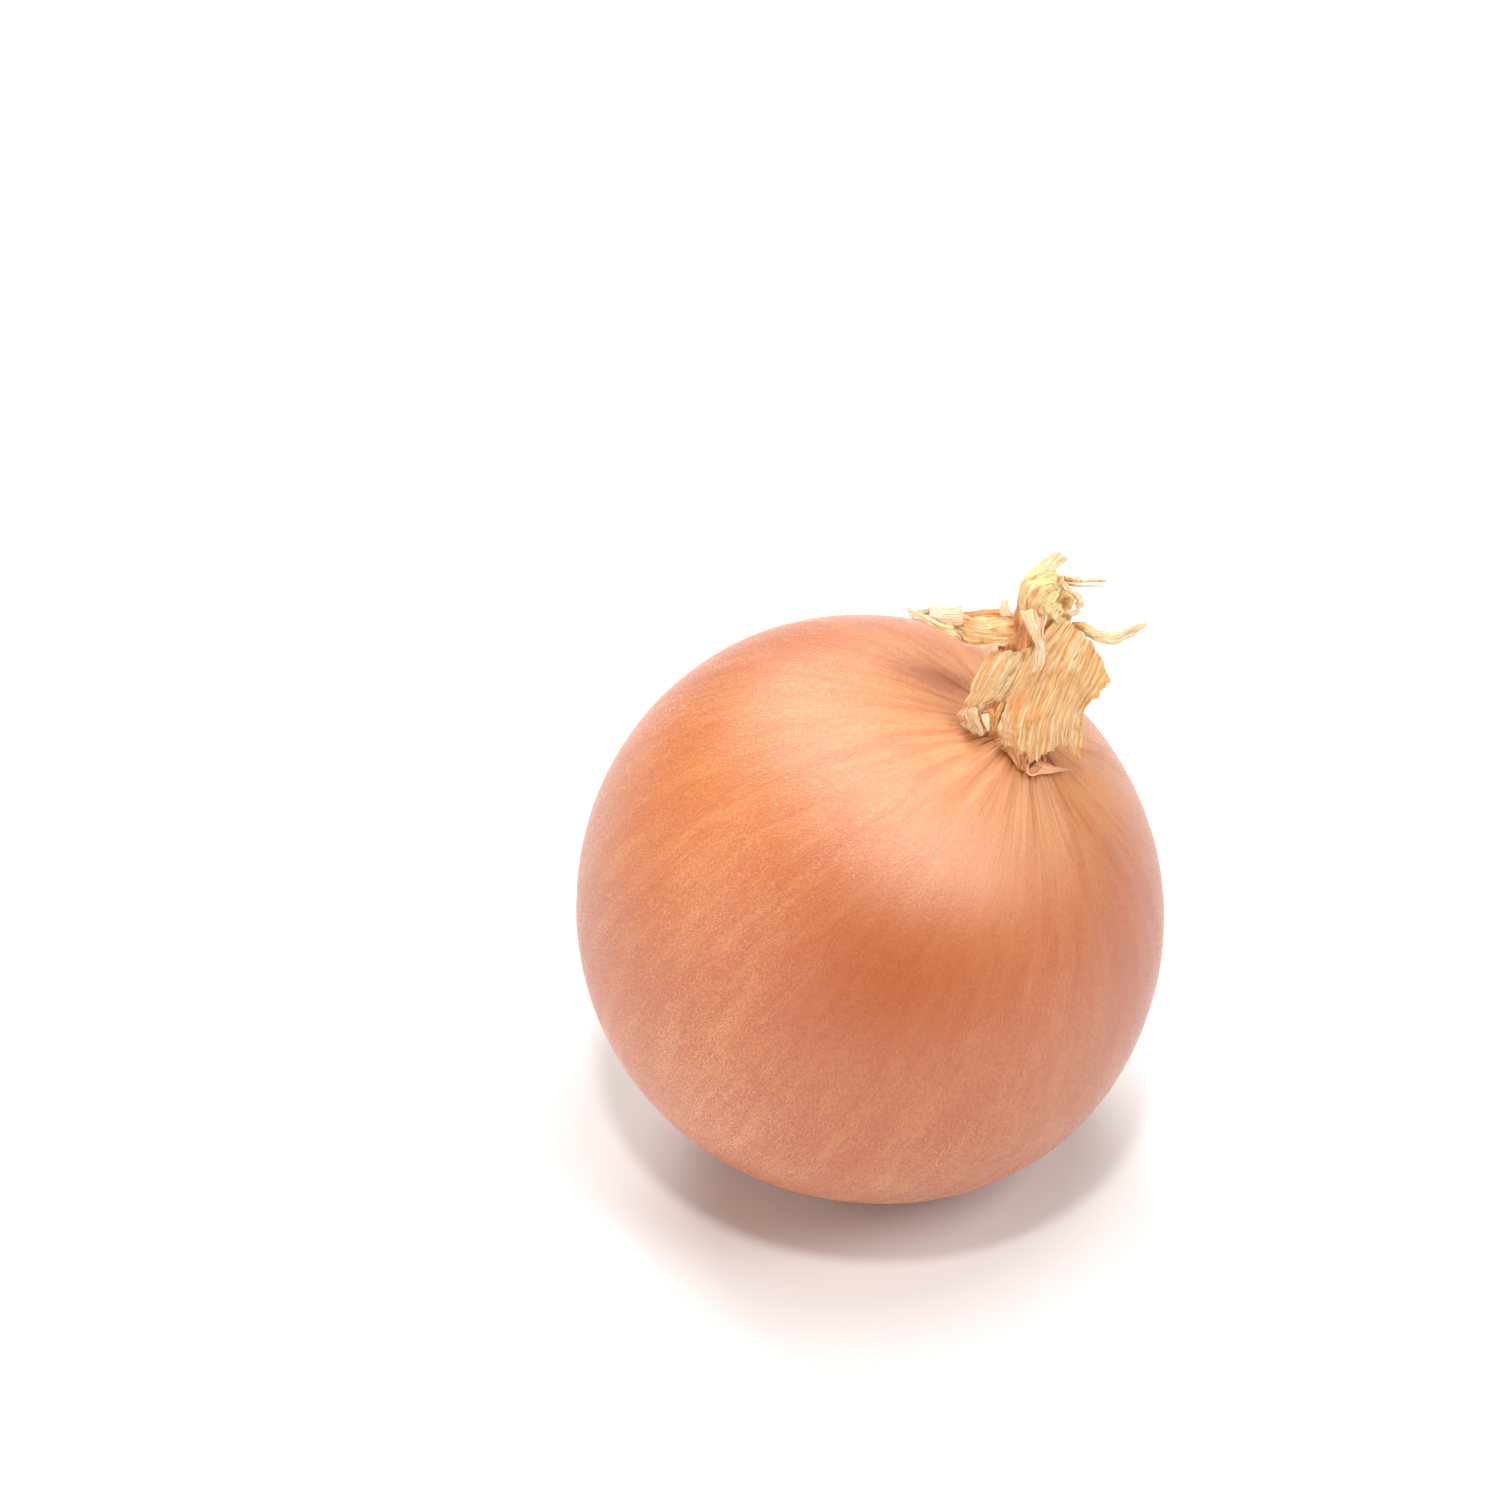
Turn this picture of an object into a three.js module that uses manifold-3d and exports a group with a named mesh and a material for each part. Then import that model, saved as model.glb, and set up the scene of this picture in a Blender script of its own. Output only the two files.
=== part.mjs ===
// A brown-skinned bulb onion, lying on a small flat spot with its dry neck leaning to one side.
// Millimetres, +Z up. The origin is the middle of the flat spot that the onion rests on.
import * as THREE from "three";
import { mergeVertices } from "three/addons/utils/BufferGeometryUtils.js";
import Module from "manifold-3d";

// Globe
const BULB_RADIUS = 37.8; // half its widest girth
const BULB_HALF_HEIGHT = 36.9; // centre to the neck or the root end
const CENTRE_HEIGHT = 36.5; // centre above the flat spot, which cuts about 0.6 off the globe
const NECK_LEAN = 29; // degrees from upright
const NECK_HEADING = -19.3; // degrees from +X towards +Y
const FACE_TILT = 52; // degrees that the neck's face leans back from level

// Low swellings of the globe: angle in the neck face's plane from +X, and height
const SWELLINGS = [
  [118, 0.55],
  [-55, 0.45],
  [-100, -0.45],
  [-15, -0.3],
  [35, -0.25],
];
const SWELLING_SHARPNESS = 6;

// Skin near the two ends
const NECK_RISE = 2.0; // how far the skin climbs the neck
const NECK_RISE_WIDTH = 6.5;
const PLEAT_HEIGHT = 0.34; // gathers round the neck
const PLEAT_START = 20; // distance from the neck where the gathers fade out
const PLEAT_FADE = 6; // distance over which they rise, from the neck's middle
const PLEATS = [
  [13, 0.9, 0.45],
  [21, 2.2, 0.55],
];
const ROOT_DIMPLE = 1.1;
const ROOT_DIMPLE_WIDTH = 5.5;

// Pieces
const GAP = 0.35; // clearance between neighbouring pieces
const LEAF_THICKNESS = 0.66;

const BULB_AROUND = 88;
const BULB_RINGS = 30;
const RING_CROWDING = 0.28; // how much closer the rings lie at the two ends
const FLAT_CUT_WIDTH = 60; // block that cuts the flat spot
const FLAT_CUT_HEIGHT = 20;

const radians = THREE.MathUtils.degToRad;
const point = (x, y, z) => new THREE.Vector3(x, y, z);

const wasm = await Module();
wasm.setup();

// Directions of the row: the neck's axis, and the neck face's own axes
const NECK_AXIS = point(
  Math.sin(radians(NECK_LEAN)) * Math.cos(radians(NECK_HEADING)),
  Math.sin(radians(NECK_LEAN)) * Math.sin(radians(NECK_HEADING)),
  Math.cos(radians(NECK_LEAN)),
);
const FACE_RIGHT = point(1, 0, 0);
const FACE_UP = point(0, Math.cos(radians(FACE_TILT)), Math.sin(radians(FACE_TILT)));
const FACE_OUT = point(0, -Math.sin(radians(FACE_TILT)), Math.cos(radians(FACE_TILT)));
const POLE = NECK_AXIS.clone().multiplyScalar(BULB_HALF_HEIGHT); // neck end, from the globe's centre

// Two directions square to the neck's axis: to the right, and to the front
const AROUND_RIGHT = FACE_RIGHT.clone().addScaledVector(NECK_AXIS, -NECK_AXIS.x).normalize();
const AROUND_FRONT = AROUND_RIGHT.clone().cross(NECK_AXIS);

// The same draws every time
function randomFrom(seed) {
  let state = seed;
  return () => {
    state = (state * 16807) % 2147483647;
    return state / 2147483647;
  };
}

// A closed mesh as a solid, for cutting and joining
function toSolid(geometry) {
  const bare = geometry.clone();
  bare.deleteAttribute("normal");
  bare.deleteAttribute("uv");
  const merged = mergeVertices(bare, 1e-5);
  return new wasm.Manifold(new wasm.Mesh({
    numProp: 3,
    vertProperties: new Float32Array(merged.attributes.position.array),
    triVerts: new Uint32Array(merged.index.array),
  }));
}

function toGeometry(solid) {
  const mesh = solid.getMesh();
  return surface(Array.from(mesh.vertProperties), Array.from(mesh.triVerts));
}

function surface(coordinates, triangles) {
  const geometry = new THREE.BufferGeometry();
  geometry.setAttribute("position", new THREE.Float32BufferAttribute(coordinates, 3));
  geometry.setIndex(triangles);
  geometry.computeVertexNormals();
  return geometry;
}

// Volume by the divergence rule: negative where the faces point inwards
function signedVolume(vertices, triangles) {
  let volume = 0;
  for (let i = 0; i < triangles.length; i += 3) {
    const [a, b, c] = [vertices[triangles[i]], vertices[triangles[i + 1]], vertices[triangles[i + 2]]];
    volume += a.dot(b.clone().cross(c)) / 6;
  }
  return volume;
}

function closedMesh(vertices, triangles) {
  if (signedVolume(vertices, triangles) < 0) {
    for (let i = 0; i < triangles.length; i += 3) {
      [triangles[i], triangles[i + 1]] = [triangles[i + 1], triangles[i]];
    }
  }
  return surface(vertices.flatMap((v) => [v.x, v.y, v.z]), triangles);
}

// A closed skin over rings of points, with one end point below the first ring and one past the last
function ringedMesh(start, rings, end) {
  const count = rings[0].length;
  const vertices = [start, ...rings.flat(), end];
  const triangles = [];
  for (let i = 0; i < count; i++) {
    const next = (i + 1) % count;
    triangles.push(0, 1 + next, 1 + i);
    for (let ring = 0; ring < rings.length - 1; ring++) {
      const low = 1 + ring * count;
      const high = low + count;
      triangles.push(low + i, low + next, high + next);
      triangles.push(low + i, high + next, high + i);
    }
    const last = 1 + (rings.length - 1) * count;
    triangles.push(last + i, last + next, vertices.length - 1);
  }
  return closedMesh(vertices, triangles);
}

const bump = (distance, width) => Math.exp(-((distance / width) ** 2));

// Globe's radius along a unit direction from its centre
function skinRadius(direction) {
  const cosine = THREE.MathUtils.clamp(direction.dot(NECK_AXIS), -1, 1);
  const sine = Math.sqrt(1 - cosine * cosine);
  const around = Math.atan2(direction.dot(AROUND_FRONT), direction.dot(AROUND_RIGHT));
  const fromNeck = Math.acos(cosine) * BULB_HALF_HEIGHT;
  const fromRoot = Math.PI * BULB_HALF_HEIGHT - fromNeck;
  let radius = 1 / Math.hypot(sine / BULB_RADIUS, cosine / BULB_HALF_HEIGHT);
  for (const [angle, height] of SWELLINGS) {
    const towards = FACE_RIGHT.clone().multiplyScalar(Math.cos(radians(angle)));
    towards.addScaledVector(FACE_UP, Math.sin(radians(angle)));
    radius += height * Math.exp(SWELLING_SHARPNESS * (direction.dot(towards) - 1));
  }
  const gathered = THREE.MathUtils.smoothstep(PLEAT_START - fromNeck, 0, PLEAT_START - PLEAT_FADE);
  const centred = THREE.MathUtils.smoothstep(fromNeck, 0, PLEAT_FADE);
  for (const [count, phase, share] of PLEATS) {
    radius += PLEAT_HEIGHT * gathered * centred * share * Math.cos(count * around + phase);
  }
  radius += NECK_RISE * bump(fromNeck, NECK_RISE_WIDTH);
  radius -= ROOT_DIMPLE * bump(fromRoot, ROOT_DIMPLE_WIDTH);
  return radius;
}

// Point on or above the skin, from the globe's centre, along any direction
function onSkin(direction, lift) {
  const unit = direction.clone().normalize();
  return unit.multiplyScalar(skinRadius(unit) + lift);
}

// The globe, with the flat spot that it rests on
function bulb() {
  const rings = [];
  for (let ring = 1; ring < BULB_RINGS; ring++) {
    const share = ring / BULB_RINGS;
    const fromNeck = Math.PI * share - RING_CROWDING * Math.sin(2 * Math.PI * share);
    rings.push(Array.from({ length: BULB_AROUND }, (_, i) => {
      const around = (2 * Math.PI * i) / BULB_AROUND;
      const direction = NECK_AXIS.clone().multiplyScalar(Math.cos(fromNeck));
      direction.addScaledVector(AROUND_RIGHT, Math.sin(fromNeck) * Math.cos(around));
      direction.addScaledVector(AROUND_FRONT, Math.sin(fromNeck) * Math.sin(around));
      return onSkin(direction, 0);
    }));
  }
  const whole = ringedMesh(onSkin(NECK_AXIS, 0), rings, onSkin(NECK_AXIS.clone().negate(), 0));
  const below = new THREE.BoxGeometry(FLAT_CUT_WIDTH, FLAT_CUT_WIDTH, FLAT_CUT_HEIGHT);
  below.translate(0, 0, -CENTRE_HEIGHT - FLAT_CUT_HEIGHT / 2);
  return toGeometry(toSolid(whole).subtract(toSolid(below)));
}

// The root end: a small corky plate in the dimple, with a tuft of dry rootlets
const PLATE_RADIUS = 4.6;
const PLATE_THICKNESS = 0.9;
const PLATE_LIFT = GAP + 0.15; // clear of the dimple's facets
const PLATE_AROUND = 24;
const PLATE_INNER_RINGS = [0.35, 0.7, 1]; // shares of the plate's radius
const PLATE_OUTER_RINGS = [1, 0.72, 0.4];
const PLATE_DOME = 1.15; // thickness at the plate's middle, as a share
const PLATE_EDGE_DROP = 0.5; // how much thinner its edge is
const ROOTLETS = 30;
const ROOTLET_RADIUS = 0.42;
const ROOTLET_TAPER = [[0, 1.1], [0.5, 0.85], [0.97, 0.5]]; // share of the length, share of the radius
const ROOTLET_REACH = 0.86; // share of the plate that they grow on
const ROOTLET_TURN = 137.5; // degrees from each to the next
const ROOTLET_LENGTH = 3.4;
const ROOTLET_EXTRA_LENGTH = 2.4;
const ROOTLET_BEND = 1.6;
const ROOTLET_SPLAY = 14; // degrees at the plate's middle
const ROOTLET_EDGE_SPLAY = 50; // and how many more at its edge
const ROOTLET_RANDOM_SPLAY = 12;
const FLOOR_CLEARANCE = 0.9;

function rootPlate() {
  const down = NECK_AXIS.clone().negate();
  const ringAt = (share, lift) => Array.from({ length: PLATE_AROUND }, (_, i) => {
    const around = (2 * Math.PI * i) / PLATE_AROUND;
    const direction = down.clone().multiplyScalar(BULB_HALF_HEIGHT);
    direction.addScaledVector(AROUND_RIGHT, share * PLATE_RADIUS * Math.cos(around));
    direction.addScaledVector(AROUND_FRONT, share * PLATE_RADIUS * Math.sin(around));
    return onSkin(direction, lift);
  });
  const rings = [
    ...PLATE_INNER_RINGS.map((share) => ringAt(share, PLATE_LIFT)),
    ...PLATE_OUTER_RINGS.map((share) => (
      ringAt(share, PLATE_LIFT + PLATE_THICKNESS * (PLATE_DOME - PLATE_EDGE_DROP * share * share))
    )),
  ];
  return ringedMesh(onSkin(down, PLATE_LIFT), rings, onSkin(down, PLATE_LIFT + PLATE_THICKNESS * PLATE_DOME));
}

// One tapered rootlet of four sides, bent outwards as it leaves the plate
function rootlet(random, index) {
  const down = NECK_AXIS.clone().negate();
  const reach = Math.sqrt((index + 0.5) / ROOTLETS) * PLATE_RADIUS * ROOTLET_REACH;
  const around = index * radians(ROOTLET_TURN) + 0.3 * random();
  const outwards = AROUND_RIGHT.clone().multiplyScalar(Math.cos(around));
  outwards.addScaledVector(AROUND_FRONT, Math.sin(around));
  const root = down.clone().multiplyScalar(BULB_HALF_HEIGHT).addScaledVector(outwards, reach);
  const start = onSkin(root, PLATE_LIFT + 0.25 * PLATE_THICKNESS);
  const outer = reach / PLATE_RADIUS;
  const splay = radians(ROOTLET_SPLAY + ROOTLET_EDGE_SPLAY * outer + ROOTLET_RANDOM_SPLAY * random());
  const heading = down.clone().multiplyScalar(Math.cos(splay)).addScaledVector(outwards, Math.sin(splay));
  const sideways = down.clone().cross(outwards);
  const bend = ROOTLET_BEND * (random() - 0.5);
  let length = ROOTLET_LENGTH + ROOTLET_EXTRA_LENGTH * random();
  while (start.z + heading.z * length + CENTRE_HEIGHT < FLOOR_CLEARANCE + ROOTLET_RADIUS) length *= 0.9;
  const square = heading.clone().cross(sideways).normalize();
  const rings = ROOTLET_TAPER.map(([share, taper]) => {
    const centre = start.clone().addScaledVector(heading, length * share);
    centre.addScaledVector(sideways, bend * share * share);
    const radius = ROOTLET_RADIUS * taper;
    return [0, 1, 2, 3].map((corner) => {
      const turn = radians(90 * corner + 15 * index);
      const vertex = centre.clone().addScaledVector(sideways, radius * Math.cos(turn));
      return vertex.addScaledVector(square, radius * Math.sin(turn));
    });
  });
  const tip = start.clone().addScaledVector(heading, length).addScaledVector(sideways, bend);
  return ringedMesh(start, rings, tip);
}

function rootTuft() {
  const random = randomFrom(71);
  let tuft = toSolid(rootPlate());
  for (let index = 0; index < ROOTLETS; index++) {
    tuft = tuft.add(toSolid(rootlet(random, index)));
  }
  return toGeometry(tuft);
}

// The neck. Its pieces are laid out in the neck face's own frame: x right, y up the face, z out of it,
// with the origin at the globe's neck end.

// Point on or above the skin in the neck's frame, straight out from x and y of its face
function onSkinAt(x, y, lift) {
  const place = POLE.clone().addScaledVector(FACE_RIGHT, x).addScaledVector(FACE_UP, y);
  let out = 0;
  for (let step = 0; step < 25; step++) {
    const here = place.clone().addScaledVector(FACE_OUT, out);
    const unit = here.clone().normalize();
    out += (skinRadius(unit) + lift - here.length()) / Math.max(unit.dot(FACE_OUT), 0.3);
  }
  return point(x, y, out);
}

function toNeckFrame(fromCentre) {
  const offset = fromCentre.clone().sub(POLE);
  return point(offset.dot(FACE_RIGHT), offset.dot(FACE_UP), offset.dot(FACE_OUT));
}

// Middle line of the stalk from the globe to the crown, and its radius at shares of that length
const STALK_LINE = new THREE.CatmullRomCurve3([
  point(0.3, -0.3, 0.4),
  point(1.1, 4.0, 3.2),
  point(1.6, 8.4, 5.8),
  point(1.9, 12.2, 8.0),
  point(2.2, 14.6, 9.6),
  point(2.9, 16.4, 10.9),
  point(4.3, 17.3, 11.6),
], false, "catmullrom", 0.5);
const STALK_FOOT_RADIUS = 4.2;
const FOOT_LIFT = GAP + 0.25; // clear of the globe's facets
const STALK_RADII = [
  [0.2, 3.65],
  [0.4, 3.2],
  [0.55, 2.9],
  [0.68, 2.7],
  [0.77, 3.0],
  [0.84, 3.6],
  [0.92, 3.8],
  [1, 3.3],
];
const STALK_DEPTH = 0.86; // front to back, as a share of side to side
const STALK_AROUND = 32;
const FLARE_START = 0.8; // share of the stalk's length where the crown begins
const CROWN_WALL = 0.75;
const CROWN_TILT = 0.5; // how far the crown's rim dips on its open side
const CROWN_OPEN_SIDE = 60; // degrees from the right towards the front
// Rings of the crown's hollow: radius, share of the rim's dip, height from the rim
const CROWN_HOLLOW = [
  [STALK_RADII.at(-1)[1] - CROWN_WALL, 0.95, 0],
  [2.3, 0.6, -1.3],
  [1.1, 0.3, -2.2],
];
const HOLLOW_FLOOR = -2.5;

function stalkAxes(share) {
  const along = STALK_LINE.getTangent(share);
  const right = along.clone().cross(point(0, 0, 1)).normalize();
  return { along, right, front: right.clone().cross(along) };
}

// Stalk's radius at a share of its length, on straight lines between the listed ones
function stalkRadius(share) {
  const steps = [[0, STALK_FOOT_RADIUS], ...STALK_RADII];
  const upper = Math.max(1, steps.findIndex(([at]) => at >= share));
  const [[low, lowRadius], [high, highRadius]] = [steps[upper - 1], steps[upper]];
  return lowRadius + ((highRadius - lowRadius) * (share - low)) / (high - low);
}

// A point beside the stalk: share of its length, degrees round from the right, distance from its line
function besideStalk(share, degrees, distance, rise = 0) {
  const { along, right, front } = stalkAxes(share);
  const place = STALK_LINE.getPoint(share).addScaledVector(along, rise);
  place.addScaledVector(right, distance * Math.cos(radians(degrees)));
  return place.addScaledVector(front, STALK_DEPTH * distance * Math.sin(radians(degrees)));
}

// Ribs down the stalk, and the torn, dipping rim of the crown
const ribs = (degrees) => (
  1 + 0.055 * Math.cos(radians(9 * degrees + 40)) + 0.04 * Math.cos(radians(5 * degrees + 120))
);
const crownRim = (degrees) => (
  -CROWN_TILT * Math.cos(radians(degrees - CROWN_OPEN_SIDE))
  + 0.4 * Math.cos(radians(7 * degrees + 60)) + 0.3 * Math.cos(radians(12 * degrees))
);

function neckStalk() {
  const turns = Array.from({ length: STALK_AROUND }, (_, i) => (360 * i) / STALK_AROUND);
  const foot = (share) => turns.map((degrees) => {
    const direction = POLE.clone();
    const reach = share * STALK_FOOT_RADIUS;
    direction.addScaledVector(AROUND_RIGHT, reach * Math.cos(radians(degrees)));
    direction.addScaledVector(AROUND_FRONT, reach * Math.sin(radians(degrees)));
    return toNeckFrame(onSkin(direction, FOOT_LIFT));
  });
  const outer = STALK_RADII.map(([share, radius]) => turns.map((degrees) => {
    const flare = Math.max(0, share - FLARE_START) / (1 - FLARE_START);
    return besideStalk(share, degrees, radius * ribs(degrees), flare * crownRim(degrees));
  }));
  const inner = CROWN_HOLLOW.map(([radius, flare, drop]) => turns.map((degrees) => (
    besideStalk(1, degrees, radius * ribs(degrees), flare * crownRim(degrees) + drop)
  )));
  const footCentre = toNeckFrame(onSkin(NECK_AXIS, FOOT_LIFT));
  const hollowCentre = besideStalk(1, 0, 0, HOLLOW_FLOOR);
  const stalk = ringedMesh(footCentre, [foot(0.5), foot(1), ...outer, ...inner], hollowCentre);
  return toGeometry(CROWN_SHREDS.reduce((whole, shred) => whole.add(toSolid(shred())), toSolid(stalk)));
}

// A leaf: one thin waved sheet through rails that run from its root to its tip, with the two faces
// split alike. Its tip is torn: each column of the sheet ends a little earlier or later.
function leaf(rails, shape) {
  const { across, along, ribsAcross = 0, ribHeight = 0, torn = 0, seed = 1, thickness = LEAF_THICKNESS } = shape;
  const random = randomFrom(seed);
  const ends = Array.from({ length: across + 1 }, () => 1 - torn * random());
  const curves = rails.map((rail) => new THREE.CatmullRomCurve3(rail, false, "catmullrom", 0.5));
  const at = (u, v) => {
    const row = curves.map((curve) => curve.getPoint(v));
    return new THREE.CatmullRomCurve3(row, false, "catmullrom", 0.5).getPoint(u);
  };
  const step = 0.01;
  const faces = [[], []];
  for (let i = 0; i <= across; i++) {
    for (let j = 0; j <= along; j++) {
      const u = i / across;
      const v = (j / along) * ends[i];
      const acrossLeaf = at(Math.min(u + step, 1), v).sub(at(Math.max(u - step, 0), v));
      const alongLeaf = at(u, Math.min(v + step, 1)).sub(at(u, Math.max(v - step, 0)));
      const normal = acrossLeaf.cross(alongLeaf).normalize();
      const rib = ribHeight * Math.sin(2 * Math.PI * ribsAcross * u + seed) * Math.min(1, 3 * v);
      const middle = at(u, v).addScaledVector(normal, rib);
      faces[0].push(middle.clone().addScaledVector(normal, thickness / 2));
      faces[1].push(middle.clone().addScaledVector(normal, -thickness / 2));
    }
  }
  const size = faces[0].length;
  const index = (i, j) => i * (along + 1) + j;
  const triangles = [];
  for (let i = 0; i < across; i++) {
    for (let j = 0; j < along; j++) {
      const corners = [index(i, j), index(i + 1, j), index(i + 1, j + 1), index(i, j + 1)];
      const [a, b, c, d] = corners;
      triangles.push(a, b, c, a, c, d);
      triangles.push(a + size, c + size, b + size, a + size, d + size, c + size);
    }
  }
  const edge = [
    ...Array.from({ length: across }, (_, i) => index(i, 0)),
    ...Array.from({ length: along }, (_, j) => index(across, j)),
    ...Array.from({ length: across }, (_, i) => index(across - i, along)),
    ...Array.from({ length: along }, (_, j) => index(0, along - j)),
  ];
  edge.forEach((from, k) => {
    const to = edge[(k + 1) % edge.length];
    triangles.push(to, from, from + size, to, from + size, to + size);
  });
  return closedMesh([...faces[0], ...faces[1]], triangles);
}

const rail = (...points) => points.map(([x, y, z]) => point(x, y, z));

// A point inside the crown's wall, a little below its rim
function inCrownWall(degrees) {
  const distance = STALK_RADII.at(-1)[1] - CROWN_WALL / 2 - 0.3;
  return besideStalk(1, degrees, distance * ribs(degrees), 0.93 * crownRim(degrees) - 0.7);
}

// The shreds that stand on the crown are joined to it: a broad one on top and two bristles to the right
const topShred = () => leaf([
  [inCrownWall(170), point(1.9, 20.2, 9.3), point(3.2, 21.5, 9.0), point(4.2, 22.1, 9.0)],
  [inCrownWall(212), point(3.9, 19.9, 9.2), point(4.8, 20.6, 9.1), point(5.4, 21.4, 9.1)],
], { across: 2, along: 4, torn: 0.08, seed: 5 });

function bristle(degrees, end, radius) {
  const start = inCrownWall(degrees);
  const line = end.clone().sub(start);
  const side = line.clone().cross(point(0, 0, 1)).normalize();
  const front = side.clone().cross(line).normalize();
  const rings = [[0, 1], [0.97, 0.6]].map(([share, taper]) => [0, 120, 240].map((degrees) => {
    const vertex = start.clone().addScaledVector(line, share);
    vertex.addScaledVector(side, taper * radius * Math.cos(radians(degrees)));
    return vertex.addScaledVector(front, taper * radius * Math.sin(radians(degrees)));
  }));
  return ringedMesh(start, rings, end);
}
const CROWN_SHREDS = [
  topShred,
  () => bristle(234, point(10.4, 18.8, 9.6), 0.42),
  () => bristle(252, point(9.8, 18.0, 9.4), 0.36),
];

// The broad front sheath: torn off below, its right side free and flaring
const frontSheath = () => leaf([
  rail([-2.2, -0.9, 5.2], [-2.7, 1.6, 7.2], [-1.5, 5.6, 9.6], [1.3, 10.8, 12.2], [4.1, 13.5, 13.0]),
  rail([1.5, -3.0, 6.0], [2.0, 1.8, 8.8], [3.6, 6.3, 10.2], [5.0, 10.2, 11.6], [6.7, 12.8, 12.4]),
  rail([5.2, -1.4, 5.0], [5.3, 1.9, 7.4], [6.5, 5.1, 8.8], [7.8, 7.8, 10.2], [8.9, 9.9, 11.2]),
  rail([7.6, -2.6, 3.0], [7.8, 0.4, 4.4], [8.1, 3.1, 5.8], [9.4, 4.9, 7.4], [11.1, 6.6, 8.4]),
], { across: 14, along: 11, ribsAcross: 4, ribHeight: 0.22, torn: 0.06, seed: 11 });

// The left sheath: a band that comes off the stalk's left side and ends in a folded collar
const leftSheath = () => leaf([
  rail([-3.9, 10.3, 6.4], [-5.2, 7.5, 5.8], [-6.1, 5.1, 5.0],
    [-6.8, 3.1, 4.6], [-6.9, 1.9, 4.8], [-4.5, 0.1, 4.9]),
  rail([-1.5, 10.4, 9.0], [-2.9, 7.9, 8.4], [-4.4, 5.5, 7.3],
    [-5.8, 2.9, 6.2], [-5.9, 1.7, 6.2], [-4.3, 0.5, 5.8]),
  rail([0.1, 10.0, 10.9], [-1.2, 7.6, 9.8], [-2.9, 5.3, 8.3],
    [-4.9, 2.7, 6.9], [-4.9, 1.8, 6.9], [-3.8, 0.9, 6.6]),
], { across: 5, along: 12, ribsAcross: 1.5, ribHeight: 0.16, torn: 0.03, seed: 23 });

// The left shred: a long torn strip that leaves the stalk sideways and ends in a ragged fork
const leftShred = () => leaf([
  rail([-1.0, 14.6, 10.4], [-4.0, 15.0, 9.0], [-6.6, 14.9, 8.6], [-9.1, 15.8, 8.2], [-13.0, 15.5, 7.6]),
  rail([-0.6, 12.9, 11.6], [-3.8, 12.9, 10.6], [-6.6, 13.2, 9.8], [-9.6, 14.4, 9.0], [-13.5, 15.1, 8.0]),
  rail([-0.6, 11.2, 11.0], [-2.9, 11.0, 10.1], [-6.2, 11.1, 9.2], [-9.0, 12.6, 8.6], [-13.2, 14.7, 7.7]),
], { across: 5, along: 12, ribsAcross: 1.5, ribHeight: 0.18, torn: 0.1, seed: 37 });

// The centre strip, down the front of the stalk to the edge of the front sheath
const centreStrip = () => leaf([
  rail([-0.9, 14.6, 13.3], [0.5, 11.6, 13.4], [1.1, 9.9, 13.3], [0.6, 7.9, 12.3]),
  rail([1.1, 14.7, 14.3], [1.9, 12.5, 14.0], [2.3, 10.4, 13.8], [1.2, 7.8, 12.7]),
], { across: 2, along: 6, seed: 41 });

// The right curl: a thin strand that opens into a crescent
const rightCurl = () => leaf([
  rail([6.2, 13.8, 9.2], [7.9, 13.5, 10.2], [8.9, 12.7, 11.2],
    [11.0, 12.3, 12.0], [12.8, 13.2, 12.0], [14.8, 13.6, 11.4]),
  rail([6.0, 13.1, 9.2], [7.5, 12.7, 10.4], [8.7, 11.6, 11.4],
    [10.7, 10.8, 12.2], [12.6, 11.4, 12.0], [14.6, 13.0, 11.4]),
], { across: 2, along: 12, seed: 43 });

// The back sheath: a short torn wrap behind the stalk
const BACK_SHEATH_CLEARANCE = 0.95;
const BACK_SHEATH_TURNS = [202, 233, 267, 302, 336]; // degrees round the stalk
const BACK_SHEATH_STEPS = [0.16, 0.3, 0.44]; // shares of the stalk's length
const BACK_SHEATH_TOPS = [0.5, 0.55]; // of every other rail
const backSheath = () => leaf(BACK_SHEATH_TURNS.map((degrees, k) => (
  [...BACK_SHEATH_STEPS, BACK_SHEATH_TOPS[k % 2]].map((share, step) => {
    const flare = 0.08 * step * step;
    return besideStalk(share, degrees, stalkRadius(share) * 1.1 + BACK_SHEATH_CLEARANCE + flare);
  })
)), { across: 10, along: 8, ribsAcross: 3, ribHeight: 0.16, torn: 0.14, seed: 53 });

// The torn scrap of brown skin at the front of the neck's foot
const skinScrap = () => leaf([
  [[0.2, -2.9, 0.9], [2.4, -3.5, 1.2], [4.5, -2.9, 1.1]].map(([x, y, lift]) => onSkinAt(x, y, lift)),
  [[1.7, -4.6, 0.8], [3.5, -4.6, 1.3], [6.6, -4.6, 0.8]].map(([x, y, lift]) => onSkinAt(x, y, lift)),
], { across: 3, along: 5, torn: 0.05, seed: 59, thickness: 0.6 });

const skin = { color: 0xd98a5c, roughness: 0.42, metalness: 0 };
const straw = { color: 0xf0bf86, roughness: 0.75, metalness: 0 };
const pale = { color: 0xf6dcae, roughness: 0.75, metalness: 0 };
const cork = { color: 0xa97f57, roughness: 0.9, metalness: 0 };

function piece(name, geometry, finish) {
  const mesh = new THREE.Mesh(geometry, new THREE.MeshStandardMaterial(finish));
  mesh.name = name;
  return mesh;
}

const globe = new THREE.Group();
globe.position.set(0, 0, CENTRE_HEIGHT);
globe.add(piece("bulb", bulb(), skin));
globe.add(piece("root_tuft", rootTuft(), cork));

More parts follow.
